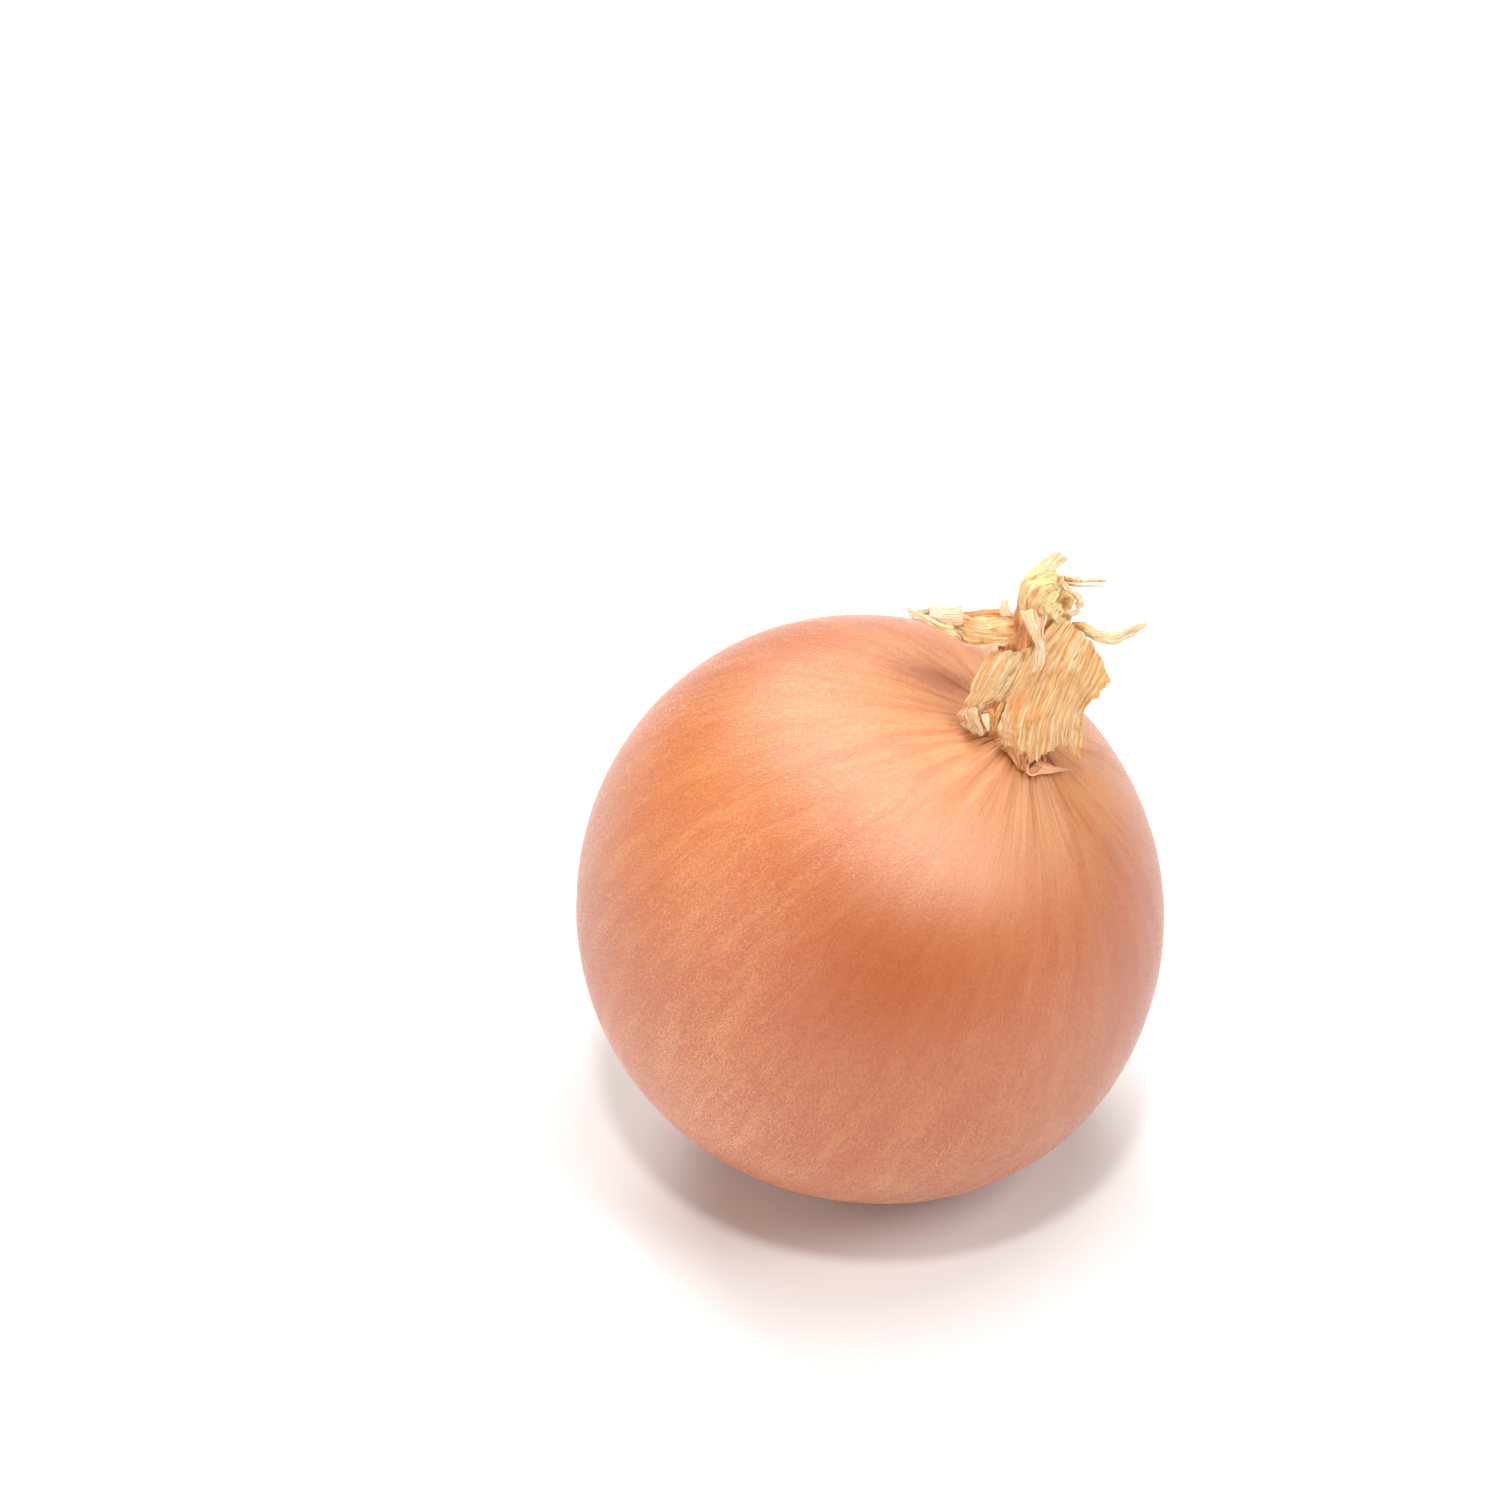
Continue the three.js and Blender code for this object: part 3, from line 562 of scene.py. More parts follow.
def leaf_points(rails, across, along, rib, crumple, torn, seed):
    """A fibrous sheet's two faces, its fibre coordinates, and the painted shade of its grooves and furrows.

    rib: list of (count across, height in mm); crumple: height in mm, or a function of u and v;
    torn: how much of the sheet the root, tip, left and right edges lose at most.
    """
    grids = np.meshgrid(np.arange(across + 1), np.arange(along + 1), indexing="ij")
    i, j = (grid.ravel() for grid in grids)
    u = i / across
    v = j / along
    torn_root, torn_tip, torn_left, torn_right = torn
    torn_tip = torn_tip(u) if callable(torn_tip) else torn_tip
    low = torn_edge(u, across / 9, torn_root, seed + 1)
    high = 1 - torn_edge(u, across / 7, torn_tip, seed + 2)
    v = mix(low, high, v)
    left = torn_edge(v, along / 9, torn_left, seed + 3)
    right = 1 - torn_edge(v, along / 9, torn_right, seed + 4)
    u = mix(left, right, u)
    step = 0.004
    across_dir = patch(rails, np.minimum(u + step, 1), v) - patch(rails, np.maximum(u - step, 0), v)
    along_dir = patch(rails, u, np.minimum(v + step, 1)) - patch(rails, u, np.maximum(v - step, 0))
    normal = unit(np.cross(across_dir, along_dir))
    middle = patch(rails, u, v)
    width = np.linalg.norm(np.diff([rail[len(rail) // 2] for rail in rails], axis=0), axis=1).sum()
    length = np.linalg.norm(np.diff(rails[len(rails) // 2], axis=0), axis=1).sum()
    shift = np.zeros_like(u)
    groove_shade = np.zeros_like(u)
    furrow_shade = np.zeros_like(u)
    for layer, (count, height) in enumerate(rib):
        wander = 0.25 * noise(v * 3, layer, seed=seed + 9)
        wave = noise(u * count + wander, v * length / 7, seed=seed + 10 + layer)
        shift += height * (1 - RIB_SHARPNESS * np.abs(wave))
        if layer:
            # Painted shade: darker in the grooves between ribs, and the furrows marked for more orange and
            # less white
            groove_shade += np.clip(np.abs(wave) - 0.5, 0, 1) * GROOVE_SHADE * height
            furrow_shade = np.maximum(furrow_shade, smoothstep(np.abs(wave), 0.12, 0.5))
    crumples = crumple(u, v) if callable(crumple) else crumple
    shift += crumples * creased(u * width / 1.6, v * length / 2.0, 0.0, seed + 30)
    middle = middle + normal * shift[:, None]
    rim = np.minimum.reduce([i, across - i, j, along - j])
    thick = LEAF_THICKNESS * np.where(rim < 1, 0.45, np.where(rim < 2, 0.8, 1.0))
    faces = [middle + normal * (thick / 2)[:, None], middle - normal * (thick / 2)[:, None]]
    fibre = np.stack([u * width, v * length, np.full_like(u, seed * 1.37)], axis=1)
    return faces, fibre, u, v, groove_shade, furrow_shade


def leaf(name, rails, material, node=None, *, grid, seed, rib, crumple, torn, tone=(0.3, 0.0, 0.2)):
    """One dry leaf as its own piece. tone: its orange, dark and white shares, or a function of u and v;
    painted shade is added in its grooves and furrows.
    """
    rails = [np.array(rail, dtype=float) for rail in rails]
    faces, fibre, u, v, groove_shade, furrow_shade = leaf_points(rails, *grid, rib, crumple, torn, seed)
    shares = tone(u, v) if callable(tone) else tone
    colours = np.stack([share + np.zeros_like(u) for share in shares], axis=1)
    # Painted shade: furrows more orange and less white, grooves darker
    colours[:, 0] = np.clip(colours[:, 0] + FURROW_SHADE_ORANGE * furrow_shade, 0, 1)
    colours[:, 1] = np.clip(colours[:, 1] + groove_shade, 0, 1)
    colours[:, 2] *= 1 - FURROW_SHADE_WHITE * furrow_shade
    quads, flat_from = sheet_faces(*grid)
    values = {"fibre": np.concatenate([fibre, fibre]), "tone": np.concatenate([colours, colours])}
    piece = make_piece(name, to_part(np.concatenate(faces)), quads, material, values, flat_from)
    if node:
        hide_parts(node)


# Each leaf is drawn through rails in the neck's frame; they start at its root and end at its tip
FRONT_SHEATH = [
    [(-2.2, -0.9, 5.2), (-2.7, 1.6, 7.2), (-1.5, 5.6, 9.6), (1.3, 10.8, 12.2), (4.6, 15.1, 13.0)],
    [(1.5, -3.0, 6.0), (2.0, 1.8, 8.8), (3.6, 6.3, 10.2), (5.2, 10.2, 11.7), (6.7, 13.1, 12.6)],
    [(5.2, -1.4, 5.0), (5.3, 1.9, 7.4), (6.5, 5.1, 8.8), (7.8, 7.8, 10.2), (8.9, 11.0, 11.4)],
    [(7.6, -2.6, 3.0), (7.8, 0.4, 4.4), (8.1, 3.1, 5.8), (9.4, 4.9, 7.4), (11.1, 6.6, 8.4)],
]
LEFT_SHEATH = [
    [(-3.5, 10.6, 7.6), (-5.3, 7.6, 6.8), (-6.1, 5.1, 5.4), (-6.9, 3.1, 4.0), (-7.0, 1.9, 3.4),
     (-4.6, 0.1, 4.1)],
    [(-1.5, 10.8, 9.6), (-3.1, 8.2, 8.9), (-4.4, 5.6, 7.3), (-5.8, 2.9, 5.4), (-5.9, 1.7, 5.0),
     (-4.3, 0.4, 4.9)],
    [(0.5, 10.4, 10.7), (-0.6, 8.1, 9.9), (-2.4, 5.6, 8.2), (-4.7, 2.8, 6.0), (-4.8, 1.8, 6.0),
     (-3.7, 0.8, 5.8)],
]
LEFT_SHRED = [
    [(-1.0, 14.6, 10.4), (-4.0, 15.0, 9.0), (-6.6, 14.9, 8.6), (-9.1, 15.8, 8.2), (-13.0, 15.5, 7.6)],
    [(-0.6, 12.9, 11.6), (-3.8, 12.9, 10.6), (-6.6, 13.2, 9.8), (-9.6, 14.4, 9.0), (-13.5, 15.1, 8.0)],
    [(-0.6, 11.2, 11.0), (-2.9, 11.0, 10.1), (-6.2, 11.1, 9.2), (-9.0, 12.6, 8.6), (-13.2, 14.7, 7.7)],
]
CENTRE_STRIP = [
    [(0.9, 7.6, 12.1), (1.4, 8.9, 12.6), (1.5, 10.8, 13.3), (0.6, 12.6, 13.4), (-0.5, 15.1, 13.2)],
    [(1.4, 7.5, 12.6), (1.8, 8.8, 13.2), (1.9, 10.8, 13.7), (1.5, 12.6, 14.1), (0.8, 15.4, 14.2)],
    [(1.8, 7.7, 12.6), (2.2, 8.9, 13.1), (2.2, 10.8, 14.1), (2.1, 12.6, 13.5), (1.8, 15.2, 13.3)],
    [(2.1, 7.9, 12.4), (2.5, 9.0, 12.8), (2.6, 10.8, 13.6), (2.7, 12.6, 14.0), (2.8, 15.0, 13.9)],
]
RIGHT_CURL = [
    [(6.2, 13.8, 9.2), (7.6, 13.9, 10.2), (9.1, 13.0, 11.2), (11.0, 12.7, 12.0), (12.9, 13.4, 12.0),
     (14.9, 13.9, 11.4)],
    [(6.1, 13.5, 9.4), (7.4, 13.3, 10.5), (8.9, 12.3, 11.5), (10.9, 11.8, 12.3), (12.8, 12.5, 12.2),
     (14.8, 13.6, 11.5)],
    [(6.0, 13.2, 9.1), (7.3, 12.7, 10.2), (8.6, 11.6, 11.0), (10.8, 11.0, 11.9), (12.7, 11.7, 11.7),
     (14.7, 13.2, 11.3)],
]
SHEATH_FOLD = [
    [(-1.6, 9.9, 8.6), (-2.6, 7.4, 8.2), (-3.6, 5.2, 7.4), (-4.6, 3.6, 6.6)],
    [(0.9, 11.0, 10.4), (0.0, 8.4, 10.2), (-1.4, 5.8, 8.9), (-2.7, 4.3, 7.9)],
    [(2.6, 11.2, 11.3), (1.2, 8.0, 10.9), (-0.4, 5.2, 9.3), (-2.0, 3.6, 7.9)],
]
LEFT_TIP = [
    [(-6.9, 15.8, 9.1), (-8.8, 15.9, 9.0), (-11.3, 16.1, 8.8)],
    [(-6.8, 15.1, 10.0), (-8.9, 15.1, 9.9), (-11.1, 15.2, 9.2)],
    [(-6.8, 14.3, 10.2), (-8.8, 14.3, 10.1), (-11.2, 14.5, 9.4)],
    [(-6.8, 13.6, 9.8), (-8.4, 13.4, 9.9), (-10.7, 13.8, 9.2)],
]
SHRED_FORK = [
    [(-13.6, 15.9, 8.5), (-12.3, 15.3, 9.1), (-10.9, 14.5, 9.7), (-9.4, 13.8, 9.9), (-7.6, 13.4, 10.0)],
    [(-13.6, 15.6, 8.8), (-12.3, 14.8, 9.5), (-10.8, 13.9, 10.0), (-9.3, 13.2, 10.2), (-7.6, 12.8, 10.2)],
    [(-13.4, 15.2, 8.7), (-12.3, 14.2, 9.3), (-10.7, 13.3, 9.8), (-9.1, 12.6, 10.0), (-7.5, 12.1, 10.0)],
]
SHRED_BACK = [
    [(-0.8, 15.2, 9.4), (-3.0, 15.7, 8.8), (-5.0, 15.5, 8.4), (-7.2, 15.2, 8.2)],
    [(-0.9, 13.6, 9.4), (-3.0, 13.9, 8.9), (-5.2, 13.9, 8.5), (-7.4, 14.0, 8.3)],
]
NUB = [
    [(-2.5, 14.6, 10.2), (-2.55, 15.7, 10.4), (-2.2, 16.6, 10.3)],
    [(-1.1, 14.5, 10.6), (-1.35, 15.7, 10.8), (-1.65, 16.6, 10.4)],
]
CROWN_ROLL = [
    [(4.9, 19.0, 11.8), (6.4, 17.5, 12.0), (7.3, 16.6, 11.9), (7.4, 15.7, 11.6), (6.7, 14.8, 11.6),
     (5.3, 14.7, 11.8)],
    [(4.8, 18.5, 12.6), (6.0, 17.3, 12.7), (6.8, 16.5, 12.5), (6.9, 15.8, 12.3), (6.4, 15.1, 12.3),
     (5.2, 14.9, 12.4)],
    [(4.6, 18.0, 12.5), (5.6, 17.1, 12.4), (6.3, 16.4, 12.1), (6.3, 15.9, 12.0), (6.0, 15.4, 12.1),
     (5.1, 15.2, 12.4)],
]
COLLAR_STRIP = [
    [(-4.6, 2.9, 6.9), (-4.3, 1.9, 6.9), (-3.7, 0.8, 6.5)],
    [(-3.5, 3.1, 7.2), (-3.5, 2.1, 7.1), (-3.5, 0.9, 6.6)],
]
COLLAR_TIP = [
    [(-6.8, 3.4, 4.9), (-6.2, 2.1, 5.2), (-4.6, 0.3, 5.7)],
    [(-5.9, 3.7, 6.2), (-5.5, 2.3, 6.4), (-4.35, 0.35, 6.3)],
    [(-5.0, 3.8, 6.8), (-4.8, 2.5, 6.8), (-4.1, 0.5, 6.4)],
]
HOLLOW_CURLS = [
    [[(-1.9, 5.0, 8.3), (-2.6, 3.9, 7.8), (-3.1, 2.5, 7.1), (-3.2, 1.4, 6.5)],
     [(-1.4, 4.6, 8.5), (-2.0, 3.5, 8.0), (-2.5, 2.3, 7.4), (-2.7, 1.3, 6.8)]],
    [[(-3.9, 3.5, 7.2), (-3.4, 2.6, 7.0), (-3.3, 1.7, 6.7), (-3.1, 0.6, 6.3)],
     [(-3.1, 3.7, 7.5), (-2.8, 2.7, 7.3), (-2.9, 1.8, 7.0), (-2.7, 0.8, 6.5)]],
]
TOP_SHRED = [
    [(0.9, 18.4, 9.9), (1.6, 19.9, 9.6), (2.6, 21.3, 9.2), (3.7, 22.4, 9.0)],
    [(2.3, 18.5, 10.4), (2.9, 19.9, 10.1), (3.8, 21.1, 9.6), (4.9, 22.2, 9.3)],
    [(3.6, 18.6, 10.0), (4.1, 19.8, 9.7), (4.9, 20.8, 9.4), (5.9, 21.6, 9.2)],
]

# Back sheath: degrees around the stalk, and shares of its length where each rail starts and ends
BACK_SHEATH_RAILS = [
    (196, 0.14, 0.60), (228, 0.10, 0.50), (262, 0.08, 0.66), (300, 0.10, 0.52), (338, 0.15, 0.60),
]
BACK_SHEATH_CLEARANCE = 0.75
BACK_SHEATH_WIDENING = 1.08
BACK_SHEATH_FLARE = 0.12
BACK_SHEATH_TURNS = np.array([-4.0, 0.0, 3.0, 5.0])


def back_sheath_rails():
    rails = []
    for degrees, low, high in BACK_SHEATH_RAILS:
        shares = np.linspace(low, high, 4)
        spread = stalk_radius(shares) * BACK_SHEATH_WIDENING + BACK_SHEATH_CLEARANCE
        spread = spread + BACK_SHEATH_FLARE * np.arange(4) ** 2
        rails.append(beside_stalk(shares, degrees + BACK_SHEATH_TURNS, spread))
    return rails


def on_skin_rail(places):
    """A rail on the skin, from x and y on the neck's face and how far it lifts."""
    return [on_skin_at(*place) for place in places]


def skin_scrap_rails():
    near = [(0.7, -4.1, 0.35), (2.3, -4.3, 0.5), (4.4, -4.2, 0.7), (6.4, -3.8, 0.5)]
    far = [(2.9, -2.3, 1.2), (3.9, -2.9, 1.6), (5.1, -3.4, 1.4), (6.5, -3.7, 0.6)]
    return [on_skin_rail(near), on_skin_rail(far)]


def scrap_roll_rails():
    low = [(2.9, -1.2, 0.2), (1.3, -2.6, 0.2), (0.9, -3.9, 0.2), (1.8, -4.3, 0.25), (2.9, -3.4, 0.25),
           (3.4, -2.2, 0.3)]
    high = [(3.2, -1.1, 1.4), (1.6, -2.6, 1.5), (1.1, -4.1, 1.2), (2.1, -4.5, 1.1), (3.2, -3.4, 1.5),
            (3.5, -2.0, 1.8)]
    return [on_skin_rail(low), on_skin_rail(high)]


def base_layer_rails():
    left = [(-2.6, 0.4, 1.2), (-1.4, -1.6, 0.8), (0.0, -3.6, 0.35)]
    middle = [(0.0, 0.0, 2.4), (0.3, -2.0, 1.4), (0.5, -4.0, 0.4)]
    right = [(3.2, -0.2, 2.4), (2.0, -2.0, 1.5), (0.9, -3.9, 0.5)]
    return [on_skin_rail(left), on_skin_rail(middle), on_skin_rail(right)]


def crackle(u, v):
    """Fine net of lines, 1 on a line, that fades up and to the right of a sheet."""
    lines = 1 - smoothstep(np.abs(layered(22 * u, 16 * v, seed=83, layers=2)), 0.0, 0.16)
    return lines * (1 - smoothstep(u, 0.2, 0.5)) * (1 - smoothstep(v, 0.2, 0.42))


def notch(u, middle, width):
    return np.exp(-((u - middle) / width) ** 2)


def sheaths(straw):
    leaf("sheath_front", FRONT_SHEATH, straw, "front_sheath", grid=(170, 120), seed=11,
         rib=((4, 0.16), (25, 0.09), (46, 0.05)), torn=(0.07, 0.03, 0.03, 0.05),
         crumple=lambda u, v: 0.1 + 0.3 * (1 - smoothstep(u, 0.1, 0.5)) * (1 - smoothstep(v, 0.15, 0.5)),
         tone=lambda u, v: (0.1 + 0.35 * (1 - v), 0.6 * crackle(u, v), 0.1 + 0.1 * (1 - u)))
    leaf("sheath_left", LEFT_SHEATH, straw, "left_sheath", grid=(90, 120), seed=23,
         rib=((3, 0.14), (15, 0.08), (32, 0.05)), torn=(0.03, 0.14, 0.04, 0.08),
         crumple=lambda u, v: 0.14 + 0.3 * smoothstep(v, 0.3, 0.7),
         tone=lambda u, v: (0.3 * smoothstep(v, 0.55, 0.85), 0.0, 0.25))
    leaf("sheath_fold", SHEATH_FOLD, straw, grid=(90, 100), seed=29,
         rib=((3, 0.12), (15, 0.08), (32, 0.05)), crumple=0.24, torn=(0.03, 0.1, 0.04, 0.05),
         tone=lambda u, v: (0.05 + 0.3 * smoothstep(v, 0.4, 0.9), 0.0, 0.15))


def left_shreds(straw):
    leaf("shred_left", LEFT_SHRED, straw, "left_shred", grid=(80, 120), seed=37,
         rib=((3, 0.2), (12, 0.1), (26, 0.05)), crumple=0.2, torn=(0.02, 0.2, 0.1, 0.1),
         tone=lambda u, v: (0.45 * (1 - v), 0.5 * (1 - smoothstep(v, 0.0, 0.12)),
                            0.15 + 0.65 * smoothstep(v, 0.45, 0.8)))
    leaf("shred_left_back", SHRED_BACK, straw, grid=(40, 60), seed=39,
         rib=((3, 0.16), (9, 0.1)), crumple=0.14, torn=(0.02, 0.1, 0.12, 0.05), tone=(0.5, 0.0, 0.1))
    leaf("shred_left_tip", LEFT_TIP, straw, grid=(44, 60), seed=38,
         rib=((2, 0.14), (7, 0.07)), crumple=0.14, torn=(0.03, 0.06, 0.02, 0.03),
         tone=lambda u, v: (0.1 * u, 0.0, 0.85))
    leaf("shred_left_fork", SHRED_FORK, straw, grid=(28, 80), seed=36,
         rib=((2, 0.1), (6, 0.06)), crumple=0.14, torn=(0.04, 0.08, 0.1, 0.1),
         tone=lambda u, v: (0.05, 0.0, 0.7 - 0.45 * v))
    leaf("nub", NUB, straw, grid=(16, 24), seed=40,
         rib=((2, 0.06),), crumple=0.05, torn=(0.02, 0.05, 0.04, 0.04), tone=(0.1, 0.0, 0.5))


def crown_leaves(straw):
    leaf("strip_centre", CENTRE_STRIP, straw, "centre_strip", grid=(48, 90), seed=41,
         rib=((3, 0.1), (9, 0.06)), crumple=0.16,
         torn=(0.1, lambda u: 0.04 + 0.22 * smoothstep(u, 0.45, 0.7), 0.06, 0.08),
         tone=lambda u, v: (0.25 * (1 - smoothstep(v, 0.1, 0.4)), 0.0, 0.5 + 0.2 * v))
    leaf("curl_right", RIGHT_CURL, straw, "right_curl", grid=(24, 90), seed=43,
         rib=((2, 0.16), (6, 0.08)), crumple=0.2, torn=(0.02, 0.06, 0.1, 0.1),
         tone=lambda u, v: (0.1 + 0.4 * (1 - smoothstep(v, 0.1, 0.45)), 0.05,
                            0.15 + 0.5 * smoothstep(v, 0.2, 0.6)))
    leaf("shred_top", TOP_SHRED, straw, grid=(30, 40), seed=47,
         rib=((2, 0.1), (7, 0.06)), crumple=0.08, torn=(0.02, 0.08, 0.04, 0.04), tone=(0.1, 0.0, 0.5))
    leaf("crown_roll", CROWN_ROLL, straw, grid=(24, 90), seed=49,
         rib=((2, 0.12), (5, 0.08)), crumple=0.26, torn=(0.02, 0.02, 0.16, 0.16), tone=(0.05, 0.0, 0.4))
    leaf("sheath_back", back_sheath_rails(), straw, "back_sheath", grid=(120, 90), seed=53,
         rib=((5, 0.2), (22, 0.1), (44, 0.05)), crumple=lambda u, v: 0.1 + 0.3 * smoothstep(v, 0.5, 0.9),
         torn=(0.12, lambda u: 0.12 + 0.5 * notch(u, 0.34, 0.05) + 0.3 * notch(u, 0.74, 0.07), 0.12, 0.12),
         tone=(0.35, 0.0, 0.15))


def collar_leaves(straw):
    leaf("collar_strip", COLLAR_STRIP, straw, grid=(20, 30), seed=55,
         rib=((2, 0.06),), crumple=0.06, torn=(0.02, 0.1, 0.05, 0.05), tone=(0.3, 0.0, 0.45))
    leaf("collar_tip", COLLAR_TIP, straw, grid=(36, 44), seed=71,
         rib=((2, 0.1), (8, 0.06)), crumple=0.16, torn=(0.12, 0.02, 0.04, 0.06), tone=(0.1, 0.0, 0.4))
    for index, rails in enumerate(HOLLOW_CURLS):
        leaf(f"hollow_curl_{index + 1}", rails, straw, grid=(18, 36), seed=56 + index,
             rib=((2, 0.06),), crumple=0.1, torn=(0.02, 0.1, 0.08, 0.08), tone=(0.95, 0.15, 0.0))


def skin_scraps(copper):
    leaf("scrap_skin", skin_scrap_rails(), copper, "skin_scrap", grid=(30, 50), seed=59,
         rib=((2, 0.08), (6, 0.04)), crumple=0.1, torn=(0.04, 0.04, 0.05, 0.12))
    leaf("scrap_roll", scrap_roll_rails(), copper, grid=(20, 90), seed=61,
         rib=((2, 0.05),), crumple=0.08, torn=(0.02, 0.02, 0.05, 0.2),
         tone=lambda u, v: (0.3 + 0.7 * smoothstep(u, 0.5, 0.9), 0.0, 0.0))
    leaf("base_layer", base_layer_rails(), copper, grid=(50, 50), seed=67,
         rib=((4, 0.1), (12, 0.08)), crumple=0.12, torn=(0.02, 0.1, 0.05, 0.05), tone=(0.1, 0.0, 0.0))


# Root end

ROOT_PLATE_RADIUS = 4.6
ROOT_PLATE_AROUND = 72

# The root plate's rings: share of its radius, and lift above the skin
ROOT_PLATE_RINGS = [(0.5, 0.1), (1.0, 0.1), (1.03, 0.5), (0.92, 0.9), (0.75, 1.15), (0.55, 1.3), (0.3, 1.4)]
ROOTLETS = 110
ROOTLET_RINGS = 7
ROOTLET_SHORTEST = 0.6
GOLDEN_TURN = math.radians(137.5)
FLOOR_CLEARANCE = 0.5
FLOOR_LEAST = 0.15


def root_direction(reach, around):
    down = -NECK_AXIS * BULB_HALF_HEIGHT
    outwards = AROUND_RIGHT * math.cos(around) + AROUND_FRONT * math.sin(around)
    return down + outwards * reach, outwards


def on_skin(direction, lift):
    direction = direction / np.linalg.norm(direction)
    radius, _lines = skin_radius(direction[None, :], fine=False)
    return direction * (radius[0] + lift)


def root_plate():
    """Rings of the corky plate, and the points that close it."""
    rings = []
    for share, lift in ROOT_PLATE_RINGS:
        ring = []
        for k in range(ROOT_PLATE_AROUND):
            around = 2 * math.pi * k / ROOT_PLATE_AROUND
            lump = float(layered(3 * math.cos(around), 3 * math.sin(around), share * 3, seed=61))
            direction, _out = root_direction(ROOT_PLATE_RADIUS * share * (1 + 0.06 * lump), around)
            ring.append(on_skin(direction, lift + 0.16 * lump))
        rings.append(ring)
    down, _out = root_direction(0.0, 0.0)
    return rings, on_skin(down, 0.1), on_skin(down, 1.45)


def tube_ring(centre, radius, side, front):
    """Six points around a thin tube's line."""
    turns = [k * math.pi / 3 for k in range(6)]
    return [centre + radius * (side * math.cos(turn) + front * math.sin(turn)) for turn in turns]


def rootlet(index, random):
    """Rings of one dry rootlet, which bends at random and stays clear of the floor."""
    reach = math.sqrt((index + 0.5) / ROOTLETS) * ROOT_PLATE_RADIUS * 0.9
    direction, outwards = root_direction(reach, index * GOLDEN_TURN + 0.3 * random.random())
    start = on_skin(direction, 0.7)
    splay = math.radians(10 + 52 * reach / ROOT_PLATE_RADIUS + 16 * random.random())
    heading = unit(-NECK_AXIS * math.cos(splay) + outwards * math.sin(splay))
    sideways = unit(np.cross(-NECK_AXIS, outwards))
    square = unit(np.cross(heading, sideways))
    bend = random.normal(0, 1.2, 2)
    length = 2.2 + 3.2 * random.random()
    while start[2] + CENTRE_HEIGHT + heading[2] * length - abs(bend[1]) < FLOOR_CLEARANCE:
        length *= 0.9
        bend *= 0.9
        if length < ROOTLET_SHORTEST:
            break
    thick = 0.13 + 0.1 * random.random()
    rings = []
    for step in range(ROOTLET_RINGS):
        share = step / (ROOTLET_RINGS - 0.5)
        wiggle = 0.12 * math.sin(9 * share + index)
        centre = start + heading * length * share + sideways * (bend[0] * share ** 2 + wiggle)
        centre = centre + square * bend[1] * share ** 2
        rings.append(tube_ring(centre, thick * (1.15 - 0.75 * share), sideways, square))
    return rings, start, centre + heading * 0.15


def joined(shapes):
    """Points and faces of several closed shapes, each given as its rings, first and last point."""
    points = []
    faces = []
    for rings, start, end in shapes:
        base = len(points)
        points.extend([start, *(point for ring in rings for point in ring), end])
        faces.extend(tuple(base + k for k in face) for face in ring_faces(len(rings), len(rings[0])))
    return np.array(points), faces


def root_tuft(material):
    random = np.random.default_rng(71)
    points, faces = joined([root_plate()] + [rootlet(index, random) for index in range(ROOTLETS)])
    points = points + CENTRE
    points[:, 2] = np.maximum(points[:, 2], FLOOR_LEAST)
    values = {"fibre": (points - CENTRE) * 0.6, "tone": np.tile([0.6, 0.25, 0.0], (len(points), 1))}
    piece = make_piece("roots", points, faces, material, values)
    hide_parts("root_tuft")


# Bristles on the crown: where each starts and ends in the neck's frame, and its radius
BRISTLES = [
    ((5.0, 19.2, 8.6), (10.3, 18.7, 9.4), 0.3),
    ((5.2, 18.6, 8.6), (10.0, 18.1, 9.2), 0.17),
    ((4.8, 18.9, 8.6), (7.4, 19.2, 8.8), 0.12),
]
BRISTLE_RINGS = 9


def bristle(start, end, radius):
    start, end = np.array(start), np.array(end)
    line = end - start
    side = unit(np.cross(line, [0.0, 0.0, 1.0]))
    front = unit(np.cross(side, line))
    rings = []
    for step in range(BRISTLE_RINGS):
        share = step / (BRISTLE_RINGS - 0.8)
        centre = start + line * share + side * 0.12 * math.sin(5 * share)
        centre = centre + front * 0.1 * math.sin(7 * share)
        rings.append(tube_ring(centre, radius * (1.2 - 0.9 * share), side, front))
    return rings, start, end


def bristles(material):
    points, faces = joined([bristle(*place) for place in BRISTLES])
    values = {"fibre": points * 0.5, "tone": np.tile([1.0, 0.0, 0.0], (len(points), 1))}
    make_piece("bristles", to_part(points), faces, material, values)


# Materials

